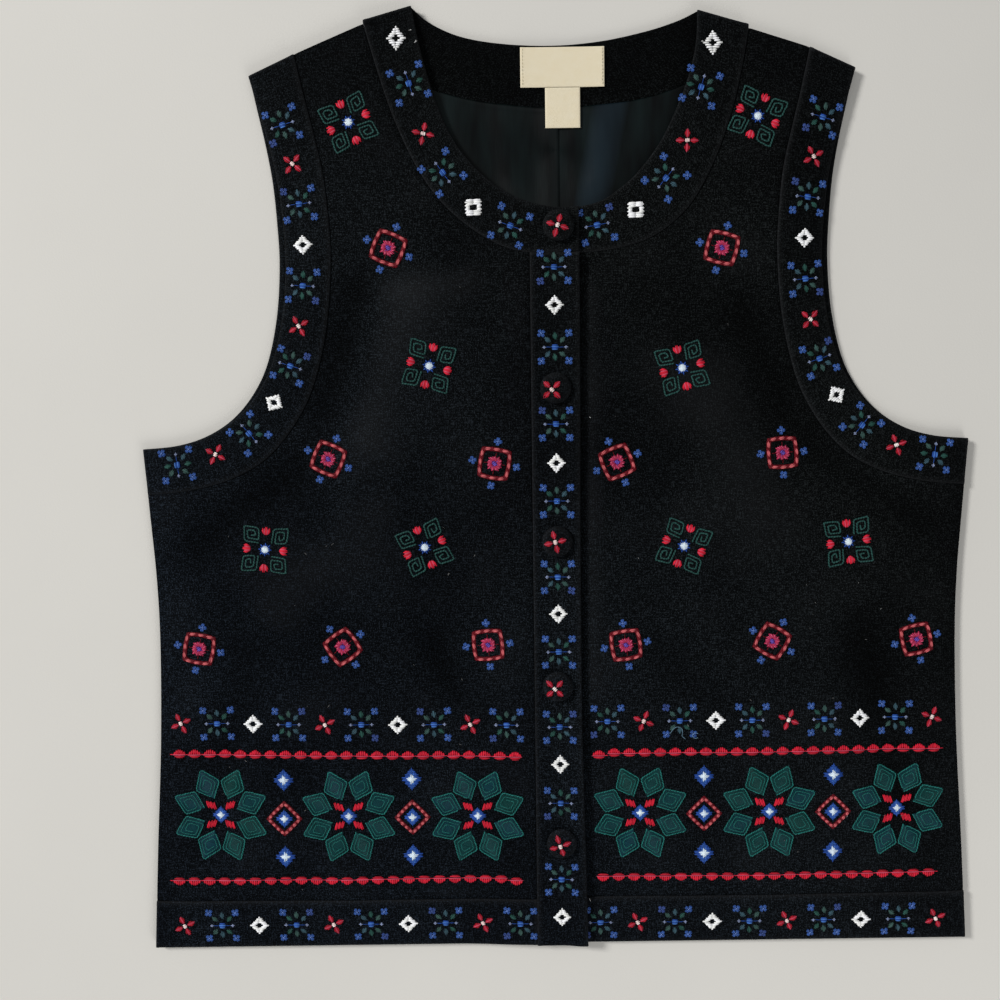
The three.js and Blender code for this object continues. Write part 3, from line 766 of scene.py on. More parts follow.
def lay(name, work, surface, material, seed=1):
    """Raised threads for a table of stitches on a surface.

    Each is a closed five-sided tube: its ring at t lies at the surface's height there, raised by
    its lift and its share of the arch, and both its ends dip to the cloth."""
    rng = np.random.default_rng(seed)
    count = len(work)
    start = work[:, X1 : Y1 + 1] + rng.normal(0, STRAY, (count, 2))
    end = work[:, X2 : Y2 + 1] + rng.normal(0, STRAY, (count, 2))
    width = work[:, WIDTH] * rng.uniform(*WIDTHS, count)
    way = end - start
    length = np.linalg.norm(way, axis=1)
    way /= length[:, None]
    across = np.stack([-way[:, 1], way[:, 0]], -1)
    t, wide, high = (RINGS[:, k][None, :] for k in range(3))
    middle = start[:, None] + (end - start)[:, None] * t[..., None]
    ground = surface(middle[..., 0], middle[..., 1])
    thick = width * FLATNESS
    arch = (work[:, ARCH] * np.minimum(1, length / SHORT))[:, None]
    level = ground + work[:, LIFT : LIFT + 1] + SEATING * thick[:, None] + arch * high
    angle = 2 * np.pi * np.arange(SIDES) / SIDES - np.pi / 2
    side = (width[:, None] / 2 * wide)[..., None] * np.cos(angle)
    rise = (thick[:, None] / 2 * wide)[..., None] * np.sin(angle)
    rings = np.concatenate([
        middle[:, :, None] + across[:, None, None] * side[..., None],
        (level[..., None] + rise)[..., None],
    ], -1)
    tips = []
    for end_place, ring in ((start, 0), (end, 2)):
        dip = level[:, ring] - END_DIP * thick - TIP_DIP * arch[:, 0] * RINGS[ring, 2]
        tips.append(np.column_stack([end_place, dip])[:, None])
    vertices = np.concatenate([rings.reshape(count, -1, 3), *tips], 1)
    each = vertices.shape[1]
    tube = grid_faces(3, SIDES, 0, closed=True)
    ring = np.arange(SIDES)
    low = np.stack([np.full(SIDES, each - 2), np.roll(ring, -1), ring], -1)
    high = np.stack([np.full(SIDES, each - 1), ring + 2 * SIDES, np.roll(ring, -1) + 2 * SIDES], -1)
    shift = (np.arange(count) * each)[:, None, None]
    faces = [(group + shift).reshape(-1, group.shape[1]) for group in (tube, low, high)]
    along = np.concatenate([np.repeat(RINGS[:, 0], SIDES), [0, 1]]) * length[:, None]
    girth = ROUND_THREAD * np.concatenate([np.tile(ring / SIDES, 3), [0, 0]]) + 0 * along
    shade = np.clip(work[:, TINT] * rng.uniform(*SHADES, (count, 1)), 0, 1)
    colour = np.repeat(np.hstack([shade, np.ones((count, 1))]), each, axis=0)
    uv = np.stack([along * MM, girth * MM], -1).reshape(-1, 2)
    return put_mesh(name, vertices.reshape(-1, 3), faces, material, uv=uv, colour=colour)


# ------------------------------------------------------------------ motifs, in millimetres

SNOW_REACH = {"placket": 7.9, "neck": 8.6, "band": 8.1}  # across to a snowflake's small flowers
DIAMOND = {"placket": (10.2, 10.8), "neck": (10.6, 13.6), "band": (11.0, 10.6)}  # width and height
SQUARE_SIDE = 8.9
# Blue diamonds: width, height and size of the star in the middle
BURST = {"alone": (12.0, 12.8, 5.2), "ringed": (10.0, 10.2, 4.4), "flower": (10.0, 9.6, 4.2)}
# Rings: radius at the sides, power of the norm that shapes them and ovals along a side
RING = {"square": (12.1, 1.18, 3), "diamond": (10.8, 1.06, 4)}
HOLE_HALF = 1.9  # of the hole in a white diamond or square
PAST_MIDDLE = -0.3  # a stitch without a hole starts here, over the middle


def tints():
    """The thread colours set for the vest, by name."""
    threads = bpy.context.scene.vest_threads
    return {name: np.array(getattr(threads, name)) for name in VestThreads.__annotations__
            if name != "seed"}


def small_flower(x, y, c, turn=0.0, dull=0.0):
    """Four little blue lobes and a soft lighter cross over them; dull takes it towards grey."""
    blue = c["cornflower"] * (1 - dull) + c["dusk"] * dull
    parts = [
        block(1.05 * sx, 1.05 * sy, 2.3, 1.9, (0.8, 1, 0.8), blue, turn=math.degrees(math.atan2(sy, sx)))
        for sx in (-1, 1) for sy in (-1, 1)
    ]
    light = c["sky"] * (1 - dull) + c["dusk"] * dull
    for way in (45, 135):
        parts.append(block(0, 0, 2.9, 0.4, (1,), light, turn=way, lift=0.25))
    return placed(np.vstack(parts), x, y, turn)


def snowflake(c, reach, count):
    """A blue heart with an arm to each side, six leaves round it and a small flower at each corner.

    Its count along the band sets the leaves' order of greens and which flowers are dull."""
    leaves = [c["leaf"], c["moss"], c["slate"]]
    heart = np.stack([c["azure"], c["blue"], c["azure"], c["blue"]])
    parts = [block(0, 0, 4.2, 3.2, (0.8, 1, 1, 0.85), heart)]
    for side in (-1, 1):
        parts.append(stitches((2.0 * side, 0), (5.3 * side, 0.1), 0.36, c["blue"]))
        parts.append(block(6.3 * side, 0, 2.4, 1.8, (0.4, 1, 0.4), c["mist"]))
    spots = [(0, 6.3), (4.3, 4.2), (-4.3, 4.2), (0, -5.7), (4.2, -4.0), (-4.2, -4.0)]
    for k, (x, y) in enumerate(spots):
        way = math.degrees(math.atan2(y, x))
        tint = leaves[(k * 2 + count) % 3]
        tone = np.stack([tint * 0.75, tint, tint * 1.15, tint * 0.8])
        parts.append(block(x, y, 4.7, 2.6, (0.5, 1, 0.9, 0.5), tone, turn=way + 8))
    for x in (-reach, reach):
        for y in (-reach, reach):
            dull = 0.75 if (count * 3 + 2 * (x > 0) + (y > 0)) % 7 == 0 else 0.0
            parts.append(small_flower(x, y, c, 7 * np.sign(x * y), dull))
    return np.vstack(parts)


def red_flower(c, size=1.0):
    """Four broad pointed petals, light along the middle of each, round a small pale heart."""
    red, rose = 0.6 * c["red"] + 0.3 * c["crimson"], 0.85 * c["rose"]
    tone = np.stack([c["crimson"], red, rose, red, c["crimson"]])
    parts = fourfold(block(4.0, 0, 5.6, 3.1, (0.38, 0.8, 1, 0.8, 0.38), tone, arch=0.3))
    parts.append(block(0, 0, 2.6, 2.5, (0.8, 1, 0.8), c["blush"], lift=0.4))
    work = np.vstack(parts)
    work[:, : Y2 + 1] *= size
    return work


def white_rows(c, rows, near, outer):
    """Level white stitches to both sides in rows: each from its near end, past the middle where
    that is below 0, to its outer end, and long and short ones by turns."""
    parts = []
    for y, inner, reach in zip(rows, near, outer):
        for side in (-1, 1):
            ends = (side * inner, y), (side * reach, y + 0.12 * side)
            parts.append(stitches(*ends, 1.38, c["white"], arch=0.15))
    return np.vstack(parts)


def white_diamond(c, width, height):
    """A solid diamond of level white stitches with stepped sides and a small hole in its middle."""
    rows = np.linspace(-0.46, 0.46, 11) * height
    step = np.where(np.arange(11) % 2, 0.45, 0.1)
    near = np.where(np.abs(rows) < HOLE_HALF, 2.0 - np.abs(rows), PAST_MIDDLE)
    return white_rows(c, rows, near, width / 2 - np.abs(rows) * width / height + step)


def white_square(c, side):
    """A solid square of level white stitches, ragged at both sides, with a small hole in its middle."""
    rows = np.linspace(-0.45, 0.45, 9) * side
    step = np.where(np.arange(9) % 2, 0.5, -0.1)
    near = np.where(np.abs(rows) < HOLE_HALF, HOLE_HALF, PAST_MIDDLE)
    return white_rows(c, rows, near, side / 2 + step)


def burst(c, width, height, heart):
    """A blue diamond with spiky sides, lighter inside, and a white star in its middle.

    Level stitches fill it, each as long as the diamond is there, more and less by turns, and
    upright ones at its top and foot break their edge."""
    parts = []
    for k, y in enumerate(np.linspace(-0.42, 0.42, 13) * height):
        full = width / 2 * (1 - abs(y) / (height / 2))
        dark, light = (1.12, 0.62) if k % 2 else (0.9, 0.4)
        for side in (-1, 1):
            near = (side * 0.2, y)
            parts.append(stitches(near, (side * (full * dark + 0.3), y), 0.95, c["blue"]))
            parts.append(stitches(near, (side * (full * light), y), 0.85, c["azure"], lift=0.12))
    for k, x in enumerate(np.linspace(-0.22, 0.22, 5) * width):
        reach = height / 2 * (1 - abs(x) / (width / 2)) * (1.1 if k % 2 == 0 else 0.94)
        for side in (-1, 1):
            parts.append(stitches((x, side * 0.3 * heart), (x, side * reach), 0.8, c["blue"], lift=0.1))
    for turn, share in ((0, 1.35), (90, 1.25), (45, 0.9), (135, 0.9)):
        parts.append(block(0, 0, heart * share, heart * 0.3, (0.8, 1), c["ice"], turn=turn, lift=0.4))
    return np.vstack(parts)


def ring(c, radius, power, per_side):
    """A dark red satin ring along a soft square, with light ovals along its middle."""
    angles = np.linspace(0, 2 * np.pi, 145)[:-1] + 0.02
    outer = rounded_square(radius + 0.2, power, angles)
    inner = rounded_square(radius - 3.2, power, angles + 0.05)
    parts = [stitches(inner, outer, 0.7, c["wine"])]
    path = Line(rounded_square(radius - 1.4, power, np.linspace(0, 2 * np.pi, 97)), smooth=False)
    count = 4 * per_side
    for k in range(count):
        middle = (k + 0.5) * path.length / count
        x, y = path.at(middle)
        parts.append(block(x, y, 0.82 * path.length / count, 1.5, (0.75, 1, 0.65), c["salmon"],
                           turn=path.heading(middle) + 8, lift=0.42))
    return np.vstack(parts)


def red_square(c):
    """A ringed square with a rough rose flower in it and a small blue flower off each side.

    Its corners lie at 0, 90, 180 and 270 degrees."""
    parts = [ring(c, *RING["square"])]
    for k in range(4):
        way = math.radians(45 + 90 * k)
        c1, s1 = math.cos(way), math.sin(way)
        parts.append(stem([(3.2 * c1, 3.2 * s1), (6.4 * c1, 6.4 * s1)], 1.5, 0.5, c["wine"]))
        parts.append(small_flower(13.0 * c1, 13.0 * s1, c, turn=20 * k))
    angles = np.linspace(0, 2 * np.pi, 23)[:-1]
    rough = 1 + 0.1 * np.cos(angles * 9)[:, None]
    parts.append(stitches(rounded_square(1.2, 2, angles), rounded_square(4.9, 1.4, angles + 0.3) * rough,
                          1.15, c["magenta"], arch=0.35))
    parts.append(stitches(rounded_square(2.8, 1.4, angles[::2] + 0.1),
                          rounded_square(4.6, 1.4, angles[::2] + 0.4), 0.8, c["pink"], lift=0.4))
    parts.append(block(0, 0, 2.9, 2.6, (0.8, 1, 0.8), c["violet"], lift=0.45))
    parts.append(stitches(rounded_square(1.6, 2, angles[::6] + 0.2), rounded_square(2.4, 2, angles[::6]),
                          0.5, c["violet"], lift=0.5))
    return np.vstack(parts)


def petal(c, shade):
    """One petal along +Y: a kite of satin under a square spiral of light stem stitch."""
    inner, wide, widest, outer, middle, inradius = 10.6, 7.6, 19.4, 30.0, 19.75, 5.97
    corners = [(0, inner - middle), (wide, widest - middle), (0, outer - middle),
               (-wide, widest - middle)]
    left = [corners[0], corners[3], corners[2]]
    right = [corners[0], corners[1], corners[2]]
    fill = satin(left, right, 0.52, 0.68, c["pine"] * (1 - shade) + c["teal"] * shade, arch=0.45)
    coil = blunted(spiral(corners, inradius, 1.75, 11), 0.45)
    edge = stem(coil[:9], 1.7, 0.8, c["fern"], slant=0.16, lift=0.1)
    inside = stem(coil[8:], 1.6, 0.62, c["sage"], slant=0.12, lift=0.5)
    return placed(np.vstack([fill, edge, inside]), 0, middle)


def eight_petal_flower(c, shades):
    """Eight petals, four red patches of three bars and a white and blue heart."""
    parts = [placed(petal(c, shade), 0, 0, 45 * k + 22.5) for k, shade in enumerate(shades)]
    for sx in (-1, 1):
        for sy in (-1, 1):
            lean = 90 - 18 * sx * sy
            for k in (-1, 0, 1):
                spot = (5.7 * sx + 1.85 * k, 5.75 * sy + 0.45 * k * sx * sy)
                parts.append(block(*spot, 5.0, 1.55, (0.95, 1), c["red"], turn=lean, arch=0.4))
    parts.append(burst(c, *BURST["flower"]))
    return np.vstack(parts)


def tulip(c):
    """A red tulip that opens towards +X in three lobes, round at its foot."""
    tips = [(0.9, -2.6), (2.1, -2.3), (1.8, -1.2), (2.8, -0.45), (2.8, 0.45), (1.8, 1.2), (2.1, 2.3),
            (0.9, 2.6)]
    foot = [(-1.5, -1.8), (-2.2, -1.4), (-2.7, -0.85), (-2.9, -0.3), (-2.9, 0.3), (-2.7, 0.85),
            (-2.2, 1.4), (-1.5, 1.8)]
    tone = np.stack([c["red"], c["red"], c["rose"], c["red"], c["red"], c["rose"], c["red"], c["red"]])
    return stitches(0.92 * np.array(foot), 0.92 * np.array(tips), 0.98, tone, arch=0.4)


def pinwheel(c):
    """Four square spirals in green line, tulips between them and a white star in the middle."""
    long_half, short_half, centre, inradius = 6.75, 5.7, 12.0, 4.35
    corners = [(-long_half, 0), (0, short_half), (long_half, 0), (0, -short_half)]
    arm = stem(spiral(corners, inradius, 1.95, 9), 1.6, 1.1, c["reed"], slant=0.12)
    parts = fourfold(placed(arm, centre, 0)) + fourfold(placed(tulip(c), 11.0, 0), 45)
    angles = np.linspace(0, 2 * np.pi, 17)[:-1]
    reach = (3.6 + 0.5 * np.cos(angles * 8 + 0.4))[:, None]
    way = rounded_square(1, 2, angles)
    parts.append(stitches(way * 1.2, way * reach, 0.85, c["blue"]))
    for turn in (20, 65, 110, 155):
        parts.append(block(0, 0, 5.4, 1.5, (0.85, 1, 0.85), c["ice"], turn=turn, lift=0.3))
    return np.vstack(parts)


def border(c, sign, row, end, side):
    """A row of red lenses outwards from the centre, domed towards side, thin links between them.

    Each is a fan of upright stitches, tallest in the middle, over a light level one from tip to
    tip and a dark belly under it."""
    start, pitch, low, growth = row
    spread = np.linspace(-2.8, 2.8, 6)
    tall = np.array([1.9, 2.8, 3.3, 3.3, 2.8, 1.9])
    levels = ((-2.1, 4.6, "crimson"), (-1.45, 6.8, "red"), (-0.55, 8.8, "rose"))  # y, length and tint
    parts = []
    for k in range(int((end - start) / pitch)):
        along = start + (k + 0.5) * pitch
        x, y = sign * along, low + growth * along
        if k == 0 and sign * side > 0:
            y -= FIRST_DIP
        foot = np.stack([x + spread * 1.15, np.full(6, y - 0.6 * side)], -1)
        tips = np.stack([x + spread * 0.92, y + side * (tall - 0.6)], -1)
        parts.append(stitches(foot, tips, 1.35, c["red"], arch=0.45))
        for drop, reach, tint in levels:
            ends = [(x + way * reach / 2, y + drop * side) for way in (-1, 1)]
            parts.append(stitches(*ends, 0.8, c[tint], lift=0.3))
        link = [(x + reach * sign, y - 0.4 * side) for reach in (3.4, pitch - 3.4)]
        parts.append(stitches(*link, 0.55, c["red"]))
    return np.vstack(parts)


# ------------------------------------------------------------------ shaders


class Value:
    """A shader socket that takes part in Python arithmetic: each operation adds a Math node."""

    def __init__(self, shader, socket):
        self.shader, self.socket = shader, socket

    def math(self, operation, *values):
        sockets = dict(enumerate(values))
        return self.shader.node("ShaderNodeMath", {"operation": operation}, sockets)

    def __add__(self, other):
        return self.math("ADD", self, other)

    def __sub__(self, other):
        return self.math("SUBTRACT", self, other)

    def __rsub__(self, other):
        return self.math("SUBTRACT", other, self)

    def __mul__(self, other):
        return self.math("MULTIPLY", self, other)

    def sine(self):
        return self.math("SINE", self)

    def clamped(self):
        return self.math("MINIMUM", self.math("MAXIMUM", self, 0.0), 1.0)


class Shader:
    """A material with one Principled surface, its nodes written as Python."""

    def __init__(self, name, **constants):
        self.material = bpy.data.materials.new(name)
        self.material.use_nodes = True
        self.tree = self.material.node_tree
        self.surface = next(n for n in self.tree.nodes if n.type == "BSDF_PRINCIPLED")
        for socket, value in constants.items():
            self.surface.inputs[socket.replace("_", " ")].default_value = value

    def node(self, kind, settings=None, sockets=None, output=0):
        """A node by its type, its settings and the values or links of its sockets."""
        made = self.tree.nodes.new(kind)
        for key, value in (settings or {}).items():
            if key == "stops":
                ramp = made.color_ramp.elements
                for k, (place, colour) in enumerate(value):
                    stop = ramp[k] if k < 2 else ramp.new(place)
                    stop.position, stop.color = place, (*colour, 1.0)
            else:
                setattr(made, key, value)
        for key, value in (sockets or {}).items():
            self.join(made.inputs[key], value)
        return Value(self, made.outputs[output])

    def join(self, target, value):
        if isinstance(value, Value):
            self.tree.links.new(value.socket, target)
        else:
            target.default_value = value

    def set(self, name, value):
        self.join(self.surface.inputs[name], value)

    def uv(self):
        return self.node("ShaderNodeUVMap", {"uv_map": "cloth"})

    def place(self):
        """The place on the piece, in the object's own metres."""
        return self.node("ShaderNodeTexCoord", output=3)

    def axes(self, vector):
        """The first two coordinates of a vector."""
        return (self.node("ShaderNodeSeparateXYZ", {}, {"Vector": vector}, k) for k in (0, 1))

    def noise(self, vector, scale, stretch=None, detail=2.0):
        if stretch:
            vector = self.node("ShaderNodeMapping", {}, {"Vector": vector, "Scale": stretch})
        sockets = {"Vector": vector, "Scale": scale, "Detail": detail, "Roughness": 0.6}
        return self.node("ShaderNodeTexNoise", {}, sockets)

    def mix(self, factor, a, b, blend="MIX"):
        """Two colours mixed: one share of the second, the rest of the first."""
        settings = {"data_type": "RGBA", "blend_type": blend}
        return self.node("ShaderNodeMix", settings, {0: factor, 6: a, 7: b}, output=2)

    def scaled(self, tone, factor):
        """A colour times a factor for each channel."""
        return self.mix(1.0, tone, (*factor, 1.0), "MULTIPLY")

    def bump(self, height, distance, strength):
        sockets = {"Height": height, "Distance": distance, "Strength": strength}
        return self.node("ShaderNodeBump", {}, sockets)


def rgba(tone, factor=(1.0, 1.0, 1.0)):
    """A colour for a socket, times a factor for each channel."""
    return (*[f * v for f, v in zip(factor, tone)], 1.0)


# Scales of the noises, to a metre, and how far each is stretched
CREPE = (1350.0, (1.25, 0.8, 1.0))
WEFT = (420.0, (3.2, 0.5, 1.0))
WARP = (420.0, (0.5, 3.2, 1.0))
WOOL_CLOUD = (9.5, (1.0, 0.55, 1.0))
FUZZ = (1400.0, (0.6, 3.0, 1.0))
SATIN_WARP = (700.0, (3.0, 0.12, 1.0))
SATIN_CLOUD = (30.0, (2.4, 0.5, 1.0))
WOOL_CLOUD_TONE = (0.6, 0.6, 0.62)  # of the wool under its darkest clouds
WOOL_PAINTED_LIGHT = (1.15, 1.35, 1.85)  # and painted light: lighter and bluer where it is lightest, towards the right hem
SHADED_THREAD = (0.78, 0.78, 0.8)  # between the ridges of its twist
# the light tone is the painted sheen along a fold; dark and mid differ at random
SATIN_TONES = {"dark": (0.35,) * 3, "mid": (1.3, 1.7, 1.6), "light": (2.8, 3.3, 4.2)}
WORN_TAPE = (0.94, 0.89, 0.78)
FLOOR_CLOUD = (0.94,) * 3
TWISTS = 9000.0  # radians of a thread's twist to a metre
TAPE_WEAVE = 12600.0  # and of the labels' weave


def wool_crepe(look):
    """Matt, pebbly wool: an irregular plain weave of 0.7 mm under a fine nap, flecked paler.

    Broad clouds darken it by up to two fifths, and painted light makes it lighter and bluer towards
    the hem of the right front. Where the attribute is over 0 it is paler, for rubbed wool and painted
    highlights, and below 0 darker, for painted shade."""
    s = Shader("wool_crepe", Roughness=0.92, Specular_IOR_Level=0.03, Sheen_Weight=look.sheen,
               Sheen_Roughness=0.45, Sheen_Tint=(0.55, 0.66, 0.8, 1.0))
    uv = s.uv()
    pebble = s.noise(uv, *CREPE, detail=3.0)
    streak = s.noise(uv, *WEFT)
    cross = s.noise(uv, *WARP)
    patch = s.noise(uv, 26.0)
    fleck = ((pebble - 0.55) * 10.0).clamped()
    deep = s.mix(patch, rgba(look.wool), rgba(look.wool, (0.5,) * 3))
    tone = s.mix(fleck, deep, rgba(look.fleck))
    slub = ((streak + cross - 1.04) * 4.0).clamped()
    tone = s.mix(slub * 0.6, tone, rgba(look.fleck))
    place = s.place()
    cloud = s.noise(place, *WOOL_CLOUD)
    tone = s.mix(((cloud - 0.4) * 5.0).clamped(), s.scaled(tone, WOOL_CLOUD_TONE), tone)
    x, y = s.axes(place)
    # painted light: the wool is painted lighter and bluer towards the lower left, the hem of the right front
    tone = s.mix((0.35 - y * 2.0 - x * 2.2).clamped(), tone, s.scaled(tone, WOOL_PAINTED_LIGHT))
    # above 0 the colour goes paler, for rubbed wool and painted highlights; below 0 it goes to black, for
    # painted shade
    wear_and_light = s.node("ShaderNodeAttribute", {"attribute_name": "wear_and_light"}, output=2)
    rubbed = s.mix(wear_and_light.clamped(), tone, rgba(look.lint))
    s.set("Base Color", s.mix((wear_and_light * -1.0).clamped(), rubbed, (0.0, 0.0, 0.0, 1.0)))
    s.set("Roughness", pebble * 0.2 + 0.78)
    height = pebble * 0.6 + streak * 0.3 + cross * 0.3
    s.set("Normal", s.bump(height, 0.0004, 0.75))
    return s.material


def embroidery_thread(look):
    """Soft lustrous thread in the colour of each stitch, its twist a fine slanted ridge."""
    s = Shader("embroidery_thread", Roughness=0.5, Specular_IOR_Level=0.14)
    uv = s.uv()
    along, around = s.axes(uv)
    twist = (along * TWISTS + around * (2 * math.pi / (ROUND_THREAD * MM))).sine() * 0.5 + 0.5
    fuzz = s.noise(uv, *FUZZ)
    tint = s.node("ShaderNodeVertexColor", {"layer_name": "thread"})
    dark = s.scaled(tint, SHADED_THREAD)
    s.set("Base Color", s.mix((twist * 0.45 + fuzz * 0.75).clamped(), dark, tint))
    s.set("Roughness", fuzz * 0.25 + 0.36)
    s.set("Normal", s.bump(twist, 0.00008, 0.6))
    return s.material


def satin_lining(look):
    """Dark satin with a sheen that runs along its warp, fine cross threads, and a painted sheen: a pale
    bluish streak painted along one fold.
    """
    s = Shader("satin_lining", Specular_IOR_Level=0.14, Anisotropic=0.5)
    uv = s.uv()
    warp = s.noise(uv, *SATIN_WARP)
    shade = s.noise(uv, *SATIN_CLOUD)
    tones = {name: rgba(look.lining, factor) for name, factor in SATIN_TONES.items()}
    cloudy = ((shade - 0.45) * 3.0 + warp * 0.3).clamped()
    # painted sheen: a pale bluish streak painted along one fold of the lining
    x, y = s.axes(s.place())
    (from_x, from_y), lean, width = PAINTED_SHEEN_FOLD
    across = (x - from_x * MM - (y - from_y * MM) * lean) * (1 / (width * MM))
    fold = (1.0 - across * across).clamped()
    cloth_tone = s.mix(cloudy, tones["dark"], tones["mid"])
    s.set("Base Color", s.mix(fold * (shade * 0.8 + 0.4), cloth_tone, tones["light"]))
    s.set("Roughness", warp * 0.16 + 0.32)
    s.set("Normal", s.bump(warp, 0.0001, 0.35))
    return s.material


def woven_tape(look):
    """A close cream ribbon weave, with a slight yellowing in soft clouds."""
    s = Shader("woven_tape", Roughness=0.62, Specular_IOR_Level=0.3, Sheen_Weight=0.1)
    uv = s.uv()
    x, y = s.axes(uv)
    weave = (x * TAPE_WEAVE).sine() * (y * TAPE_WEAVE).sine()
    cloudy = s.noise(uv, 160.0, detail=3.0)
    s.set("Base Color", s.mix(cloudy * 0.9, rgba(look.tape), rgba(look.tape, WORN_TAPE)))
    s.set("Roughness", cloudy * 0.2 + 0.52)
    s.set("Normal", s.bump(weave * 0.5 + 0.5, 0.00012, 0.5))
    return s.material


def pale_floor(look):
    """Pale matt cloth-covered table, faintly clouded."""
    s = Shader("pale_floor", Roughness=0.9, Specular_IOR_Level=0.2)
    place = s.place()
    cloud = s.noise(place, 7.0, detail=3.0)
    s.set("Base Color", s.mix(cloud, rgba(look.floor), rgba(look.floor, FLOOR_CLOUD)))
    s.set("Normal", s.bump(s.noise(place, 900.0), 0.0002, 0.3))
    return s.material


MAKERS = {
    maker.__name__: maker
    for maker in (wool_crepe, embroidery_thread, satin_lining, woven_tape, pale_floor)
}
FINISHES = {}


def finish_of(name):
    """A finish by its name, made when it is first asked for."""
    if name not in FINISHES:
        FINISHES[name] = MAKERS[name](bpy.context.scene.vest_look)
    return FINISHES[name]


# ------------------------------------------------------------------ settings


def colour(name, description, code):
    """A colour setting with its value as six hexadecimal digits."""
    return bpy.props.FloatVectorProperty(
        name=name, description=description, subtype="COLOR", min=0.0, max=1.0, default=linear(code)
    )


def amount(name, description, default, **more):
    """A setting that is a number of 0 or more."""
    return bpy.props.FloatProperty(name=name, description=description, default=default, min=0.0, **more)


class VestLook(bpy.types.PropertyGroup):
    """Colours and finishes of the vest's cloth and of the table."""

    wool: colour("Wool", "The wool crepe of the shell", "050606")
    fleck: colour("Fleck", "Paler fibres in the wool", "282c2d")
    # also the colour of the painted highlights on folds, seams and buttons
    lint: colour("Rubbed wool", "Where edges and buttons have been rubbed", "323335")
    lining: colour("Lining", "The satin inside the neck", "0b1011")
    tape: colour("Tape", "The woven labels", "e4dac1")
    floor: colour("Table", "The surface that the vest lies on", "d6d3cc")
    sheen: amount("Nap", "How far the wool's nap catches light", 0.008, max=1.0, subtype="FACTOR")


class VestThreads(bpy.types.PropertyGroup):
    """Thread colours of the embroidery."""

    seed: bpy.props.IntProperty(
        name="Hand", description="Start of the small differences between stitches", default=7, min=0
    )
    red: colour("Red", "Flowers, lenses and patches", "d01f36")
    crimson: colour("Crimson", "Edges of petals and foot of the lenses", "911323")
    wine: colour("Wine", "Dark rings", "640716")
    rose: colour("Rose", "Light middles of petals and lenses", "c94a62")
    salmon: colour("Salmon", "Light ovals on the dark rings", "cf6468")
    magenta: colour("Magenta", "Rough flowers in the red squares", "ab2c4f")
    pink: colour("Pink", "Light stitches on those flowers", "cd5373")
    blush: colour("Blush", "Hearts of the red flowers", "ffe4de")
    blue: colour("Blue", "Diamonds and thin arms", "264c9c")
    azure: colour("Azure", "Hearts and the lighter stitches in diamonds", "4473ba")
    cornflower: colour("Cornflower", "Small flowers", "35579a")
    dusk: colour("Dusk", "Small flowers of a duller thread", "37467e")
    sky: colour("Sky", "Light crosses on small flowers", "6280c1")
    mist: colour("Mist", "Ends of a snowflake's arms, and the loose thread", "828dab")
    ice: colour("Ice", "Stars in blue diamonds and square spirals", "e2f0fc")
    violet: colour("Violet", "Hearts of the red squares", "6249a4")
    white: colour("White", "White diamonds and squares, and lint", "fffffb")
    leaf: colour("Leaf", "Grey green leaves", "37534e")
    moss: colour("Moss", "Dark green leaves", "264e46")
    slate: colour("Slate", "Blue grey leaves", "37535e")
    pine: colour("Pine", "Petals of the large flowers", "033633")
    teal: colour("Teal", "Petals that lean to blue", "03323d")
    fern: colour("Fern", "Outlines of petals", "206a64")
    reed: colour("Reed", "Spirals on the fronts", "244944")
    sage: colour("Sage", "Spirals on the petals", "1a5f59")


class VestStage(bpy.types.PropertyGroup):
    """The table, the light and the camera."""

    floor_size: amount("Table", "Side of the table", 4.0, unit="LENGTH")
    key: amount("Key light", "Window light from the upper left", 108.0)
    bounce: amount("Bounce", "Soft light from below the hem", 6.1)
    sky: amount("Room light", "Even light from all round", 0.318)
    distance: amount("Camera distance", "From the camera to the vest", 0.56, unit="LENGTH")


# ------------------------------------------------------------------ pieces


def panel(name, grid, height, **facts):
    """A front or back of the vest's wool, with pressed seams all round."""
    cloth(name, grid, height, CLOTH, PANEL_EDGES, "wool_crepe", **facts)


def band(name, stretches, height, rests_on, thickness=BAND, edges=BAND_EDGES, step=BAND_STEP, **facts):
    """A band of wool from its seam to its edge: pairs of stretches of the two lines."""
    cloth(name, ruled(stretches, step), height, thickness, edges, "wool_crepe", strip=True,
          rests_on=[rests_on], **facts)


def side_lines(sign):
    """The seams and edges of one side, its armhole's parts paired below and above the scoop."""
    seam, edge = Line(flipped(ARM_SEAM, sign)), Line(flipped(ARM_EDGE, sign))
    parts = []
    for line in (seam, edge):
        scoop = line.where(1, SCOOP_Y)
        parts.append((line.stretch(0, scoop), line.stretch(scoop, line.length)))
    return Line(flipped(SIDE_SEAM, sign)), parts[0], parts[1]


def neck_lines():
    """The neck seam from the placket to each shoulder, by the side's sign."""
    seam = Line(NECK_SEAM)
    return {
        -1: seam.stretch(seam.where(0, -PLACKET_HALF), 0),
        1: seam.stretch(seam.where(0, PLACKET_HALF), seam.length),
    }


def between(seam, edge, shares, start, end):
    """A band's line of motifs, from one share of its length to another: the seam and the edge
    added, each times its own share."""
    marks = np.linspace(start, end, 200)
    parts = [share * line.at(marks * line.length) for share, line in zip(shares, (seam, edge))]
    return Line(parts[0] + parts[1], smooth=False)


def fuller(line, sign, low, high):
    """A stretch of the armhole moved out by a sine of its share, as the fuller back is cut."""
    share = low + (high - low) * line.along / line.length
    shift = sign * BACK_SCOOP * np.sin(np.pi * share)
    return Line(line.points + np.stack([shift, 0 * shift], -1), smooth=False)


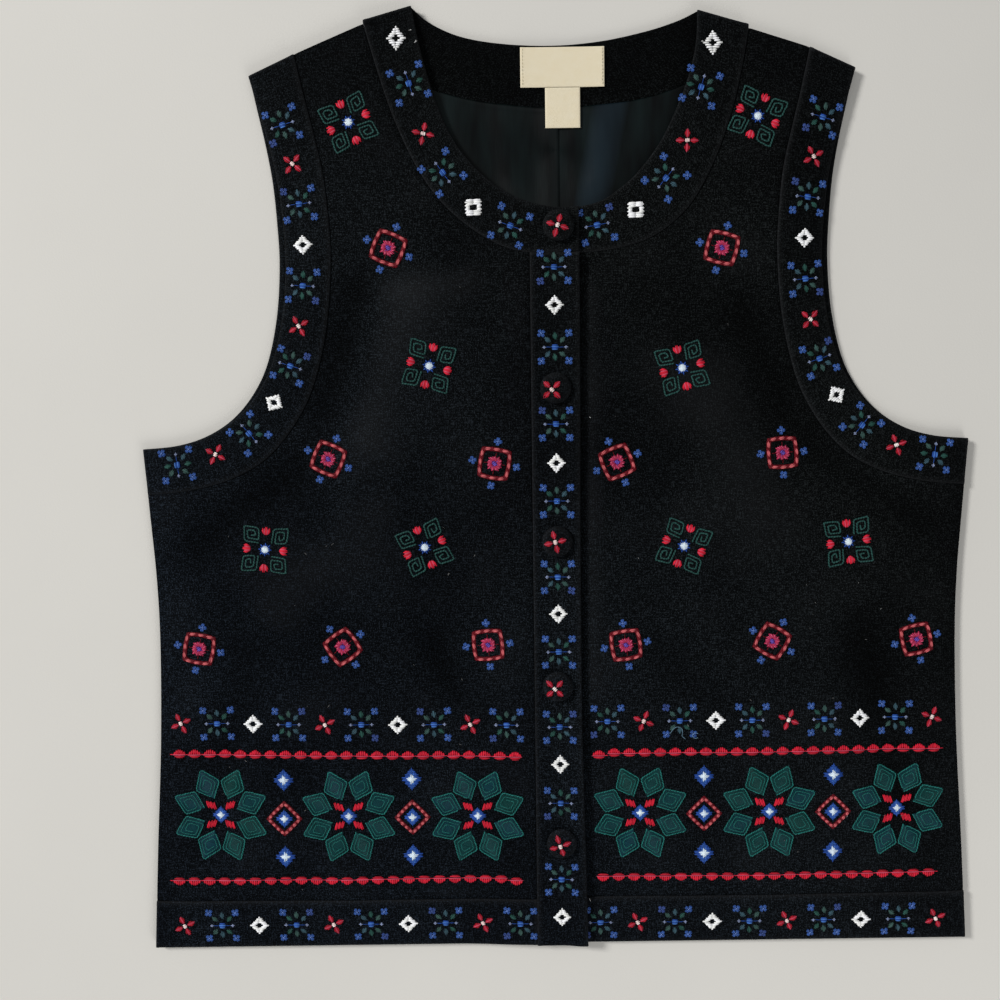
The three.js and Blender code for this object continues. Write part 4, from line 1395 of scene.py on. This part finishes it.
def make_back():
    """The back panel, its neck band, armhole bands and hem band, flat on the table."""
    hem_rows = {}
    sides = {}
    for sign, word, _ in FRONTS:
        side, seams, edges = side_lines(sign)
        shares = ((0, CHEST_SHARE), (CHEST_SHARE, 1))
        seams = [fuller(part, sign, *share) for part, share in zip(seams, shares)]
        edges = [fuller(part, sign, *share) for part, share in zip(edges, shares)]
        band(f"armhole_band_{word}_back", zip(seams, edges), on_table, "table", CLOTH, BACK_BAND_EDGES)
        body = side.stretch(side.where(1, HEM_SEAM_Y + GAP), side.where(1, UNDERARM_Y - GAP))
        arm = Line(np.vstack([seams[0].points, seams[1].points[1:]]), smooth=False).shifted(sign * GAP)
        sides[sign] = Line(np.vstack([body.points, arm.points[UNDERARM_SKIP:]]), smooth=False)
        hem_rows[sign] = (side.at(side.where(1, HEM_SEAM_Y)), side.at(side.length))
    neck = Line(BACK_NECK_SEAM).shifted(-GAP)
    top = straight(sides[-1].points[-1], *neck.points, sides[1].points[-1])
    bottom = straight(sides[-1].points[0], sides[1].points[0])
    panel("back", filled(sides[-1], sides[1], bottom, top, 2 * STEP), on_table, rests_on=["table"])
    hem = tuple(straight(*ends) for ends in zip(hem_rows[-1], hem_rows[1]))
    neck = (Line(BACK_NECK_SEAM), Line(BACK_NECK_EDGE))
    for name, lines, step in (("hem_band_back", hem, 2 * BAND_STEP), ("neck_band_back", neck, BAND_STEP)):
        band(name, [lines], on_table, "table", CLOTH, BACK_BAND_EDGES, step)


def make_front(sign, word, height):
    """One front panel with its hem band and armhole band."""
    side, seams, edges = side_lines(sign)
    centre = sign * (PLACKET_HALF + GAP)
    low, high = HEM_SEAM_Y + GAP, NECK_SEAM_Y - GAP
    outer = [part.shifted(sign * GAP) for part in seams]
    stretches = [
        (straight((centre, low), (centre, UNDERARM_Y)),
         side.stretch(side.where(1, low), side.where(1, UNDERARM_Y - GAP))),
        (straight((centre, UNDERARM_Y), (centre, high)), outer[0]),
        (neck_lines()[sign].shifted(-sign * GAP), outer[1]),
    ]
    # the folds' painted highlights and painted shade go into this front's colour
    panel(f"front_{word}", ruled(stretches, STEP), height, tone=fold_painted_light, rests_on=["back"])
    band(f"armhole_band_{word}_front", zip(seams, edges), height, f"armhole_band_{word}_back")
    top, foot = side.at(side.where(1, HEM_SEAM_Y)), side.at(side.length)
    hem = (straight((centre, HEM_SEAM_Y), top), straight((centre, HEM_Y), foot))
    band(f"hem_band_{word}", [hem], height, "hem_band_back")


def make_neck_bands():
    """The two front neck bands: each passes the centre, and the right one laps over the left."""
    edge = Line(NECK_EDGE)
    ends = {-1: LAP_EDGE[0][0], 1: -PLACKET_HALF}
    for sign, word, height in reversed(FRONTS):
        start = sign * PLACKET_HALF
        seam = neck_lines()[sign]
        seam = straight(*seam.points, seam.points[-1] + (0, SHOULDER_STEP))
        shoulder = edge.length if sign > 0 else 0
        stretches = [
            (straight((ends[sign], NECK_SEAM_Y), seam.points[0]),
             edge.stretch(edge.where(0, ends[sign]), edge.where(0, start))),
            (seam, edge.stretch(edge.where(0, start), shoulder)),
        ]
        band(f"neck_band_{word}", stretches, height, "neck_band_left" if sign < 0 else "back_lining",
             edges={**BAND_EDGES, "first": "fold"})


def make_plackets():
    """The two plackets down the centre, the buttoned one on top."""
    top = NECK_SEAM_Y - GAP
    foot = LAP_EDGE[-1][1]
    lap = Line(LAP_EDGE)
    edges = {**BAND_EDGES, "last": "fold"}
    under = (straight((PLACKET_HALF, top), (PLACKET_HALF, HEM_Y)),
             straight((-PLACKET_HALF, top), (-PLACKET_HALF, HEM_Y)))
    band("placket_under", [under], front_height, "back", edges=edges)
    lapping = (straight((-PLACKET_HALF, top), (-PLACKET_HALF, foot)),
               lap.stretch(lap.where(1, top), lap.length))
    band("placket_top", [lapping], placket_height, "placket_under", edges=edges)


def pleat(x, y):
    """The lining's thickness: it is folded on itself up to the pleat's edge."""
    grown = smooth_step(PLEAT_X - PLEAT_WIDTH, PLEAT_X - PLEAT_FLAT, x)
    return THIN + PLEAT_RISE * grown * (1 - smooth_step(PLEAT_X, PLEAT_X + PLEAT_EDGE, x))


def make_inside():
    """The facing of the back neck and the satin lining under it, with its centre pleat."""
    facing = Line(FACING_EDGE)
    lines = (facing, Line(BACK_NECK_EDGE).shifted(-GAP))
    # the facing is darkened by painted shade
    band("back_neck_facing", [lines], on_back, "back", THIN, FACING_EDGES, tone=FACING_PAINTED_SHADE)
    low = Line(LINING_EDGE)
    x = np.concatenate([
        np.arange(LINING_EDGE[0][0], PLEAT_X - PLEAT_WIDTH, LINING_STEP),
        np.arange(PLEAT_X - PLEAT_WIDTH, PLEAT_X, PLEAT_STEP),
        PLEAT_X + np.array(PLEAT_COLUMNS),
        np.arange(PLEAT_X + 3, LINING_EDGE[-1][0] + 0.1, LINING_STEP),
    ])
    near = Line([low.at(low.where(0, v)) for v in x], smooth=False)
    far = Line([facing.at(facing.where(0, v)) - (0, GAP) for v in x], smooth=False)
    rows = np.stack([near.points, far.points], 1)
    share = np.linspace(0, 1, LINING_ROWS)[None, :, None]
    place = rows[:, :1] + (rows[:, 1:] - rows[:, :1]) * share
    depth = np.linalg.norm(rows[:, 1] - rows[:, 0], axis=1)[:, None] * share[..., 0]
    grid = (place, {"near": depth, "far": depth.max(1, keepdims=True) - depth})
    cloth("back_lining", grid, on_back, pleat, {"far": "seam"}, "satin_lining", rests_on=["back"])


def label_height(name):
    """A label lies on the facing and lifts towards its sides as the cube of the distance."""
    def height(x, y):
        share = np.abs(x - LABEL[0]) / (LABEL[2] / 2)
        return CLOTH + 2 * SEAM + THIN + LABEL_RISE[name] + LABEL_LIFT * share**3
    return height


def make_labels():
    """Two bare woven labels in the back neck, sewn down at their sides."""
    for name, (x, y, width, height) in (("size_tab", TAB), ("label", LABEL)):
        left, right = x - width / 2, x + width / 2
        low, high = y - height / 2, y + height / 2
        lines = (straight((left, low), (left, high)), straight((right, low), (right, high)))
        cloth(name, ruled([lines], LABEL_STEP), label_height(name), LABEL_THICK, LABEL_EDGES,
              "woven_tape", rests_on=["back_neck_facing"])
    x, y, width, height = LABEL
    cream = np.array(linear(SEWING_COLOUR))
    work = []
    for side in (-1, 1):
        marks = np.arange(y - height / 2 + SEWN["top"], y + height / 2 - 1, SEWN["pitch"])
        spots = np.stack([np.full(len(marks), x + side * (width / 2 - SEWN["side"])), marks], -1)
        ends = spots + (SEWN["slant"] * side, SEWN["length"])
        work.append(stitches(spots, ends, SEWN["width"], cream, lift=0.05))
    lay("label_stitching", np.vstack(work), over(label_height("label"), LABEL_THICK),
        finish_of("embroidery_thread"))


def dome(r):
    """Height of a button's cloth over its seat at a distance from its axis."""
    share = np.clip(r / BUTTON_R, 0, 1)
    return BUTTON_RIM + (BUTTON_H - BUTTON_RIM) * (1 - share**2.6) ** 0.5


def make_buttons():
    """Five domed buttons covered in the wool, each with a red flower worked on it."""
    c = tints()
    radii = BUTTON_R * np.sin(np.linspace(np.pi / 2, 0, BUTTON_RINGS + 1))
    for k, (x, y, turn, aside, up) in enumerate(BUTTONS):
        foot = float(front_height(np.array(x), np.array(y))) + BAND + SEAM
        seat = foot + LAP
        shank = [(0, foot), (SHANK_R, foot + 0.02), (SHANK_R, seat)]
        under = [(BUTTON_R - inwards, seat + rise) for inwards, rise in BUTTON_UNDER]
        cover = [(r, seat + dome(r)) for r in radii[:-1]] + [(0, seat + dome(0))]
        vertices, faces = revolved(shank + under + cover, BUTTON_SIDES)
        angle = np.arctan2(vertices[:, 1], vertices[:, 0])
        from_axis = np.hypot(vertices[:, 0], vertices[:, 1])
        near_rim = smooth_step(GATHER_FROM * BUTTON_R, BUTTON_R, from_axis)
        waves = sum(rise * np.sin(angle * count + (n + 1) * k) for n, (rise, count) in enumerate(GATHERS))
        vertices[:, 2] += near_rim * waves * (vertices[:, 2] > seat + BUTTON_UNDER[-1][1] - 0.1)
        vertices = vertices + (x, y, 0)
        name = f"button_{k + 1}"
        # the buttons are paler for rubbed wool and a painted sheen, most at the rim
        button = put_mesh(f"{name}_cover", vertices, faces, finish_of("wool_crepe"),
                          uv=vertices[:, :2] * MM, wear_and_light=BUTTON_WEAR_AND_SHEEN[0] + BUTTON_WEAR_AND_SHEEN[1] * near_rim)
        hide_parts(name)

        def top(px, py, x=x, y=y, seat=seat):
            return seat + dome(np.hypot(px - x, py - y))

        work = placed(red_flower(c, FLOWER_ON_BUTTON), x + aside, y + up, turn)
        lay(f"{name}_flower", work, top, finish_of("embroidery_thread"),
            bpy.context.scene.vest_threads.seed + k)


def band_motif(kind, c, k, where="band"):
    """A motif by its kind, its number along the band and where it is worked."""
    if kind == "snow":
        return snowflake(c, SNOW_REACH[where], k)
    if kind == "flower":
        return red_flower(c)
    if kind == "square":
        return white_square(c, SQUARE_SIDE)
    return white_diamond(c, *DIAMOND[where])


def sew(name, parts, surface):
    """A piece of embroidery from tables of stitches, with its own start of the random draws."""
    threads = bpy.context.scene.vest_threads
    return lay(name, np.vstack(parts), surface, finish_of("embroidery_thread"),
               threads.seed + sum(map(ord, name)))


def embroider_placket():
    """Snowflakes and white diamonds down the placket, between the buttons."""
    c = tints()
    start, growth = PLACKET_DRIFT
    parts = [
        placed(band_motif(kind, c, k, "placket"), start - growth * y, y)
        for kind, row in (("snow", PLACKET_SNOW_Y), ("diamond", PLACKET_DIAMOND_Y))
        for k, y in enumerate(row)
    ]
    sew("embroidery_placket", parts, over(placket_height, BAND))


def embroider_neck():
    """Motifs round the front neck bands: snowflakes turned along the band and white ones upright."""
    c = tints()
    middle = between(Line(NECK_SEAM), Line(NECK_EDGE), (0.5, 0.5), 0, 1)
    for sign, word, height in FRONTS:
        parts = []
        for k, (kind, x, y) in enumerate(NECK_WORK):
            if x * sign < 0:
                continue
            turn = middle.heading(middle.nearest(x, y))
            if kind == "flower":
                turn = NECK_FLOWER_TURN[sign]
            elif kind != "snow":
                turn = 0
            parts.append(placed(band_motif(kind, c, k, "neck"), x, y, turn))
        sew(f"embroidery_neck_{word}", parts, over(height, BAND))


def embroider_armholes():
    """Motifs down each front armhole band, at even steps along its middle from the shoulder.

    The first ones lie lower by a drop that fades as an exponential of their number."""
    c = tints()
    for sign, word, height in FRONTS:
        seam, edge = Line(flipped(ARM_SEAM, sign)), Line(flipped(ARM_EDGE, sign))
        middle = between(seam, edge, ARM_MIDDLE, 1, 0)
        start = middle.where(1, ARM_START_Y)
        parts = []
        for k in range(int((middle.length - start - ARM_END) / ARM_PITCH) + 1):
            distance = start + k * ARM_PITCH + ARM_DROP[0] * math.exp(-k / ARM_DROP[1])
            kind = ROUND[k % len(ROUND)]
            turn = middle.heading(distance) + 90 + (ARM_FLOWER_TURN if kind == "flower" else 0)
            parts.append(placed(band_motif(kind, c, k), *middle.at(distance), turn))
        sew(f"embroidery_armhole_{word}", parts, over(height, BAND))


def row_of_motifs(c, sign, row, flower_turn, limit):
    """Motifs in their order at even steps outwards from the centre."""
    start, pitch, low, growth = row
    parts = []
    for k in range(int((limit - start) / pitch) + 1):
        along = start + k * pitch
        kind = ROUND[k % len(ROUND)]
        turn = flower_turn if kind == "flower" else 0
        parts.append(placed(band_motif(kind, c, k), sign * along, low + growth * along, turn))
    return parts


def embroider_hem():
    """Motifs along the hem band."""
    c = tints()
    for sign, word, height in FRONTS:
        work = row_of_motifs(c, sign, HEM_ROW[sign], HEM_FLOWER_TURN, HEM_END)
        sew(f"embroidery_hem_{word}", work, over(height, BAND))


def embroider_borders():
    """The broad border over the hem: large flowers between two rows of lenses."""
    c = tints()
    rng = np.random.default_rng(bpy.context.scene.vest_threads.seed)
    for sign, word, height in FRONTS:
        surface = over(height, CLOTH)
        work = [border(c, sign, UPPER_LENSES[sign], LENSES_END, 1),
                border(c, sign, LOWER_LENSES[sign], LENSES_END, -1)]
        start, pitch = BETWEEN[sign]
        top, middle, foot = BETWEEN_Y[sign]
        for x in (sign * start, sign * (start + pitch)):
            work += [placed(burst(c, *BURST["alone"]), x, y) for y in (top, foot)]
            work += [placed(ring(c, *RING["diamond"]), x, middle)]
            work += [placed(burst(c, *BURST["ringed"]), x, middle)]
        work += row_of_motifs(c, sign, ROW[sign], FLOWER_TURN[sign], ROW_END)
        sew(f"embroidery_border_{word}", work, surface)
        start, pitch, low, growth = FLOWERS[sign]
        flowers = [
            placed(eight_petal_flower(c, rng.uniform(0, 1, 8)), sign * along, low + growth * along)
            for along in (start + k * pitch for k in range(3))
        ]
        sew(f"embroidery_flowers_{word}", flowers, surface)


def loose_threads():
    """A loose pale thread that curls over the row of motifs, tufts of lint and single short fibres.

    The thread is a smooth curve and a loop of short pieces. The random draws of a tuft are its
    fibres' ends, and of the single fibres their places and ends."""
    c = tints()
    rng = np.random.default_rng(bpy.context.scene.vest_threads.seed)
    round_loop = np.linspace(*LOOP_ARC, 15)
    loop = np.stack([np.cos(round_loop), np.sin(round_loop)], -1) * LOOP[2] + LOOP[:2]
    pale = c["mist"] * LOOSE_TINT
    work = {-1: [], 1: [stem(line, 0.9, 0.3, pale, lift=0.9) for line in (Line(LOOSE_THREAD).points, loop)]}
    for x, y, count in LINT:
        spread = rng.normal(0, 0.6, (2, count, 2))
        work[1 if x > LINT_SPLIT else -1].append(
            stitches(spread[0] + (x, y), spread[1] + (x, y), 0.3, c["white"] * 0.55, lift=0.6))
    for sign, word, height in FRONTS:
        x = rng.uniform(*SPECK_X, SPECKS)
        inner, outer = (rng.uniform(*limits, SPECKS) for limits in SPECK_Y)
        y = np.where(x < ARMHOLE_X, inner, outer)
        start = np.stack([sign * x, y], -1)
        shade = rng.uniform(0.08, 0.3, (SPECKS, 1)) * c["white"]
        work[sign].append(stitches(start, start + rng.normal(0, 0.9, (SPECKS, 2)), 0.22, shade, lift=0.25))
        sew(f"lint_{word}", work[sign], over(height, BAND))


def embroider_fronts():
    """Square spirals and red squares scattered over the fronts."""
    c = tints()
    for sign, word, height in FRONTS:
        parts = [placed(pinwheel(c), x, y, turn) for x, y, turn in PINWHEELS if x * sign > 0]
        parts += [placed(red_square(c), x, y, turn) for x, y, turn in SQUARES if x * sign > 0]
        sew(f"embroidery_scatter_{word}", parts, over(height, CLOTH))


# ------------------------------------------------------------------ stage

TILT = 3.911  # degrees the camera leans from straight down
CAMERA_ROLL = 0.8
AIM = (-33.0, -5.6, 5.0)  # the point in the middle of the picture
LENS = 34.29
SENSOR = 36.0
# Each light's place, what it points at, and its size, in metres
LIGHTS = {
    "window": ((-2.6, 1.3, 2.0), (0, 0, 0), 0.8),
    "bounce": ((0.5, -1.1, 0.8), (0.15, -0.2, 0), 0.8),
}
ROOM_COLOUR = (0.95, 0.97, 1.0, 1.0)
TABLE_DROP = -0.2  # the table's top, just under the cloth


def make_camera(distance):
    """The camera over the vest, from its distance, its lean and its roll."""
    roll, tilt = math.radians(CAMERA_ROLL), math.radians(TILT)
    right = Vector((math.cos(roll), -math.sin(roll), 0))
    back = Vector((0, math.sin(tilt), math.cos(tilt)))
    back = (back - right * back.dot(right)).normalized()
    up = back.cross(right)
    place = Vector(AIM) * MM + back * distance
    data = bpy.data.cameras.new("camera")
    data.lens = LENS
    data.sensor_width = SENSOR
    data.clip_start = 0.01
    camera = bpy.data.objects.new("camera", data)
    camera.matrix_world = Matrix.Translation(place) @ Matrix((right, up, back)).transposed().to_4x4()
    bpy.context.scene.collection.objects.link(camera)
    bpy.context.scene.camera = camera


def add_light(name, power):
    """A round lamp that points at its target."""
    place, target, size = LIGHTS[name]
    data = bpy.data.lights.new(name, "AREA")
    data.shape = "DISK"
    data.size = size
    data.energy = power
    light = bpy.data.objects.new(name, data)
    light.location = place
    light.rotation_euler = (Vector(target) - Vector(place)).to_track_quat("-Z", "Y").to_euler()
    bpy.context.scene.collection.objects.link(light)


def make_stage():
    """Table, room light, window light and camera."""
    stage = bpy.context.scene.vest_stage
    half = stage.floor_size / 2 / MM
    corners = ((-1, -1), (1, -1), (1, 1), (-1, 1))
    vertices = np.array([(half * x, half * y, TABLE_DROP) for x, y in corners])
    floor = put_mesh("table", vertices, [np.array([(0, 1, 2, 3)])], finish_of("pale_floor"))
    scene = bpy.context.scene
    scene.view_settings.view_transform = "Standard"
    scene.world = bpy.data.worlds.new("room")
    scene.world.use_nodes = True
    room = scene.world.node_tree.nodes["Background"]
    room.inputs["Color"].default_value = ROOM_COLOUR
    room.inputs["Strength"].default_value = stage.sky
    add_light("window", stage.key)
    add_light("bounce", stage.bounce)
    make_camera(stage.distance)


# ------------------------------------------------------------------ add-on


class VEST_OT_back(bpy.types.Operator):
    """Make the back of the vest with its bands"""

    bl_idname = "vest.back"
    bl_label = "Back"

    def execute(self, context):
        make_back()
        return {"FINISHED"}


class VEST_OT_inside(bpy.types.Operator):
    """Make the facing, the satin lining and the bare labels in the back neck"""

    bl_idname = "vest.inside"
    bl_label = "Neck lining"

    def execute(self, context):
        make_inside()
        make_labels()
        return {"FINISHED"}


class VEST_OT_fronts(bpy.types.Operator):
    """Make the two fronts with their hem and armhole bands"""

    bl_idname = "vest.fronts"
    bl_label = "Fronts"

    def execute(self, context):
        for front in reversed(FRONTS):
            make_front(*front)
        return {"FINISHED"}


class VEST_OT_bands(bpy.types.Operator):
    """Make the neck bands and the plackets that meet at the centre"""

    bl_idname = "vest.bands"
    bl_label = "Neck bands and plackets"

    def execute(self, context):
        make_neck_bands()
        make_plackets()
        return {"FINISHED"}


class VEST_OT_buttons(bpy.types.Operator):
    """Make the five covered buttons with their flowers"""

    bl_idname = "vest.buttons"
    bl_label = "Buttons"

    def execute(self, context):
        make_buttons()
        return {"FINISHED"}


class VEST_OT_band_embroidery(bpy.types.Operator):
    """Embroider the placket, the neck, the armholes and the hem band"""

    bl_idname = "vest.band_embroidery"
    bl_label = "Embroidery on the bands"

    def execute(self, context):
        embroider_placket()
        embroider_neck()
        embroider_armholes()
        embroider_hem()
        return {"FINISHED"}


class VEST_OT_front_embroidery(bpy.types.Operator):
    """Embroider the broad border and the scattered motifs of the fronts"""

    bl_idname = "vest.front_embroidery"
    bl_label = "Embroidery on the fronts"

    def execute(self, context):
        embroider_borders()
        embroider_fronts()
        loose_threads()
        return {"FINISHED"}


class VEST_OT_stage(bpy.types.Operator):
    """Make the table, the lights and the camera"""

    bl_idname = "vest.stage"
    bl_label = "Table, light and camera"

    def execute(self, context):
        make_stage()
        return {"FINISHED"}


OPERATORS = (
    VEST_OT_stage, VEST_OT_back, VEST_OT_inside, VEST_OT_fronts, VEST_OT_bands, VEST_OT_buttons,
    VEST_OT_band_embroidery, VEST_OT_front_embroidery,
)
SETTINGS = {"vest_look": VestLook, "vest_threads": VestThreads, "vest_stage": VestStage}


class VEST_PT_panel(bpy.types.Panel):
    """The vest's settings and the steps that make it"""

    bl_idname = "VEST_PT_panel"
    bl_label = "Embroidered Vest"
    bl_space_type = "VIEW_3D"
    bl_region_type = "UI"
    bl_category = "Vest"

    def draw(self, context):
        for word in SETTINGS:
            box = self.layout.box()
            group = getattr(context.scene, word)
            for name in group.__annotations__:
                box.prop(group, name)
        for operator in OPERATORS:
            self.layout.operator(operator.bl_idname)


CLASSES = (*SETTINGS.values(), *OPERATORS, VEST_PT_panel)


def register():
    """Register the classes and give the scene the vest's settings."""
    for made in CLASSES:
        bpy.utils.register_class(made)
    for word, group in SETTINGS.items():
        setattr(bpy.types.Scene, word, bpy.props.PointerProperty(type=group))


def unregister():
    """Take both away again."""
    for word in SETTINGS:
        delattr(bpy.types.Scene, word)
    for made in reversed(CLASSES):
        bpy.utils.unregister_class(made)


def main():
    register()
    for operator in OPERATORS:
        getattr(bpy.ops.vest, operator.bl_idname.split(".")[1])()


if __name__ == "__main__":
    main()
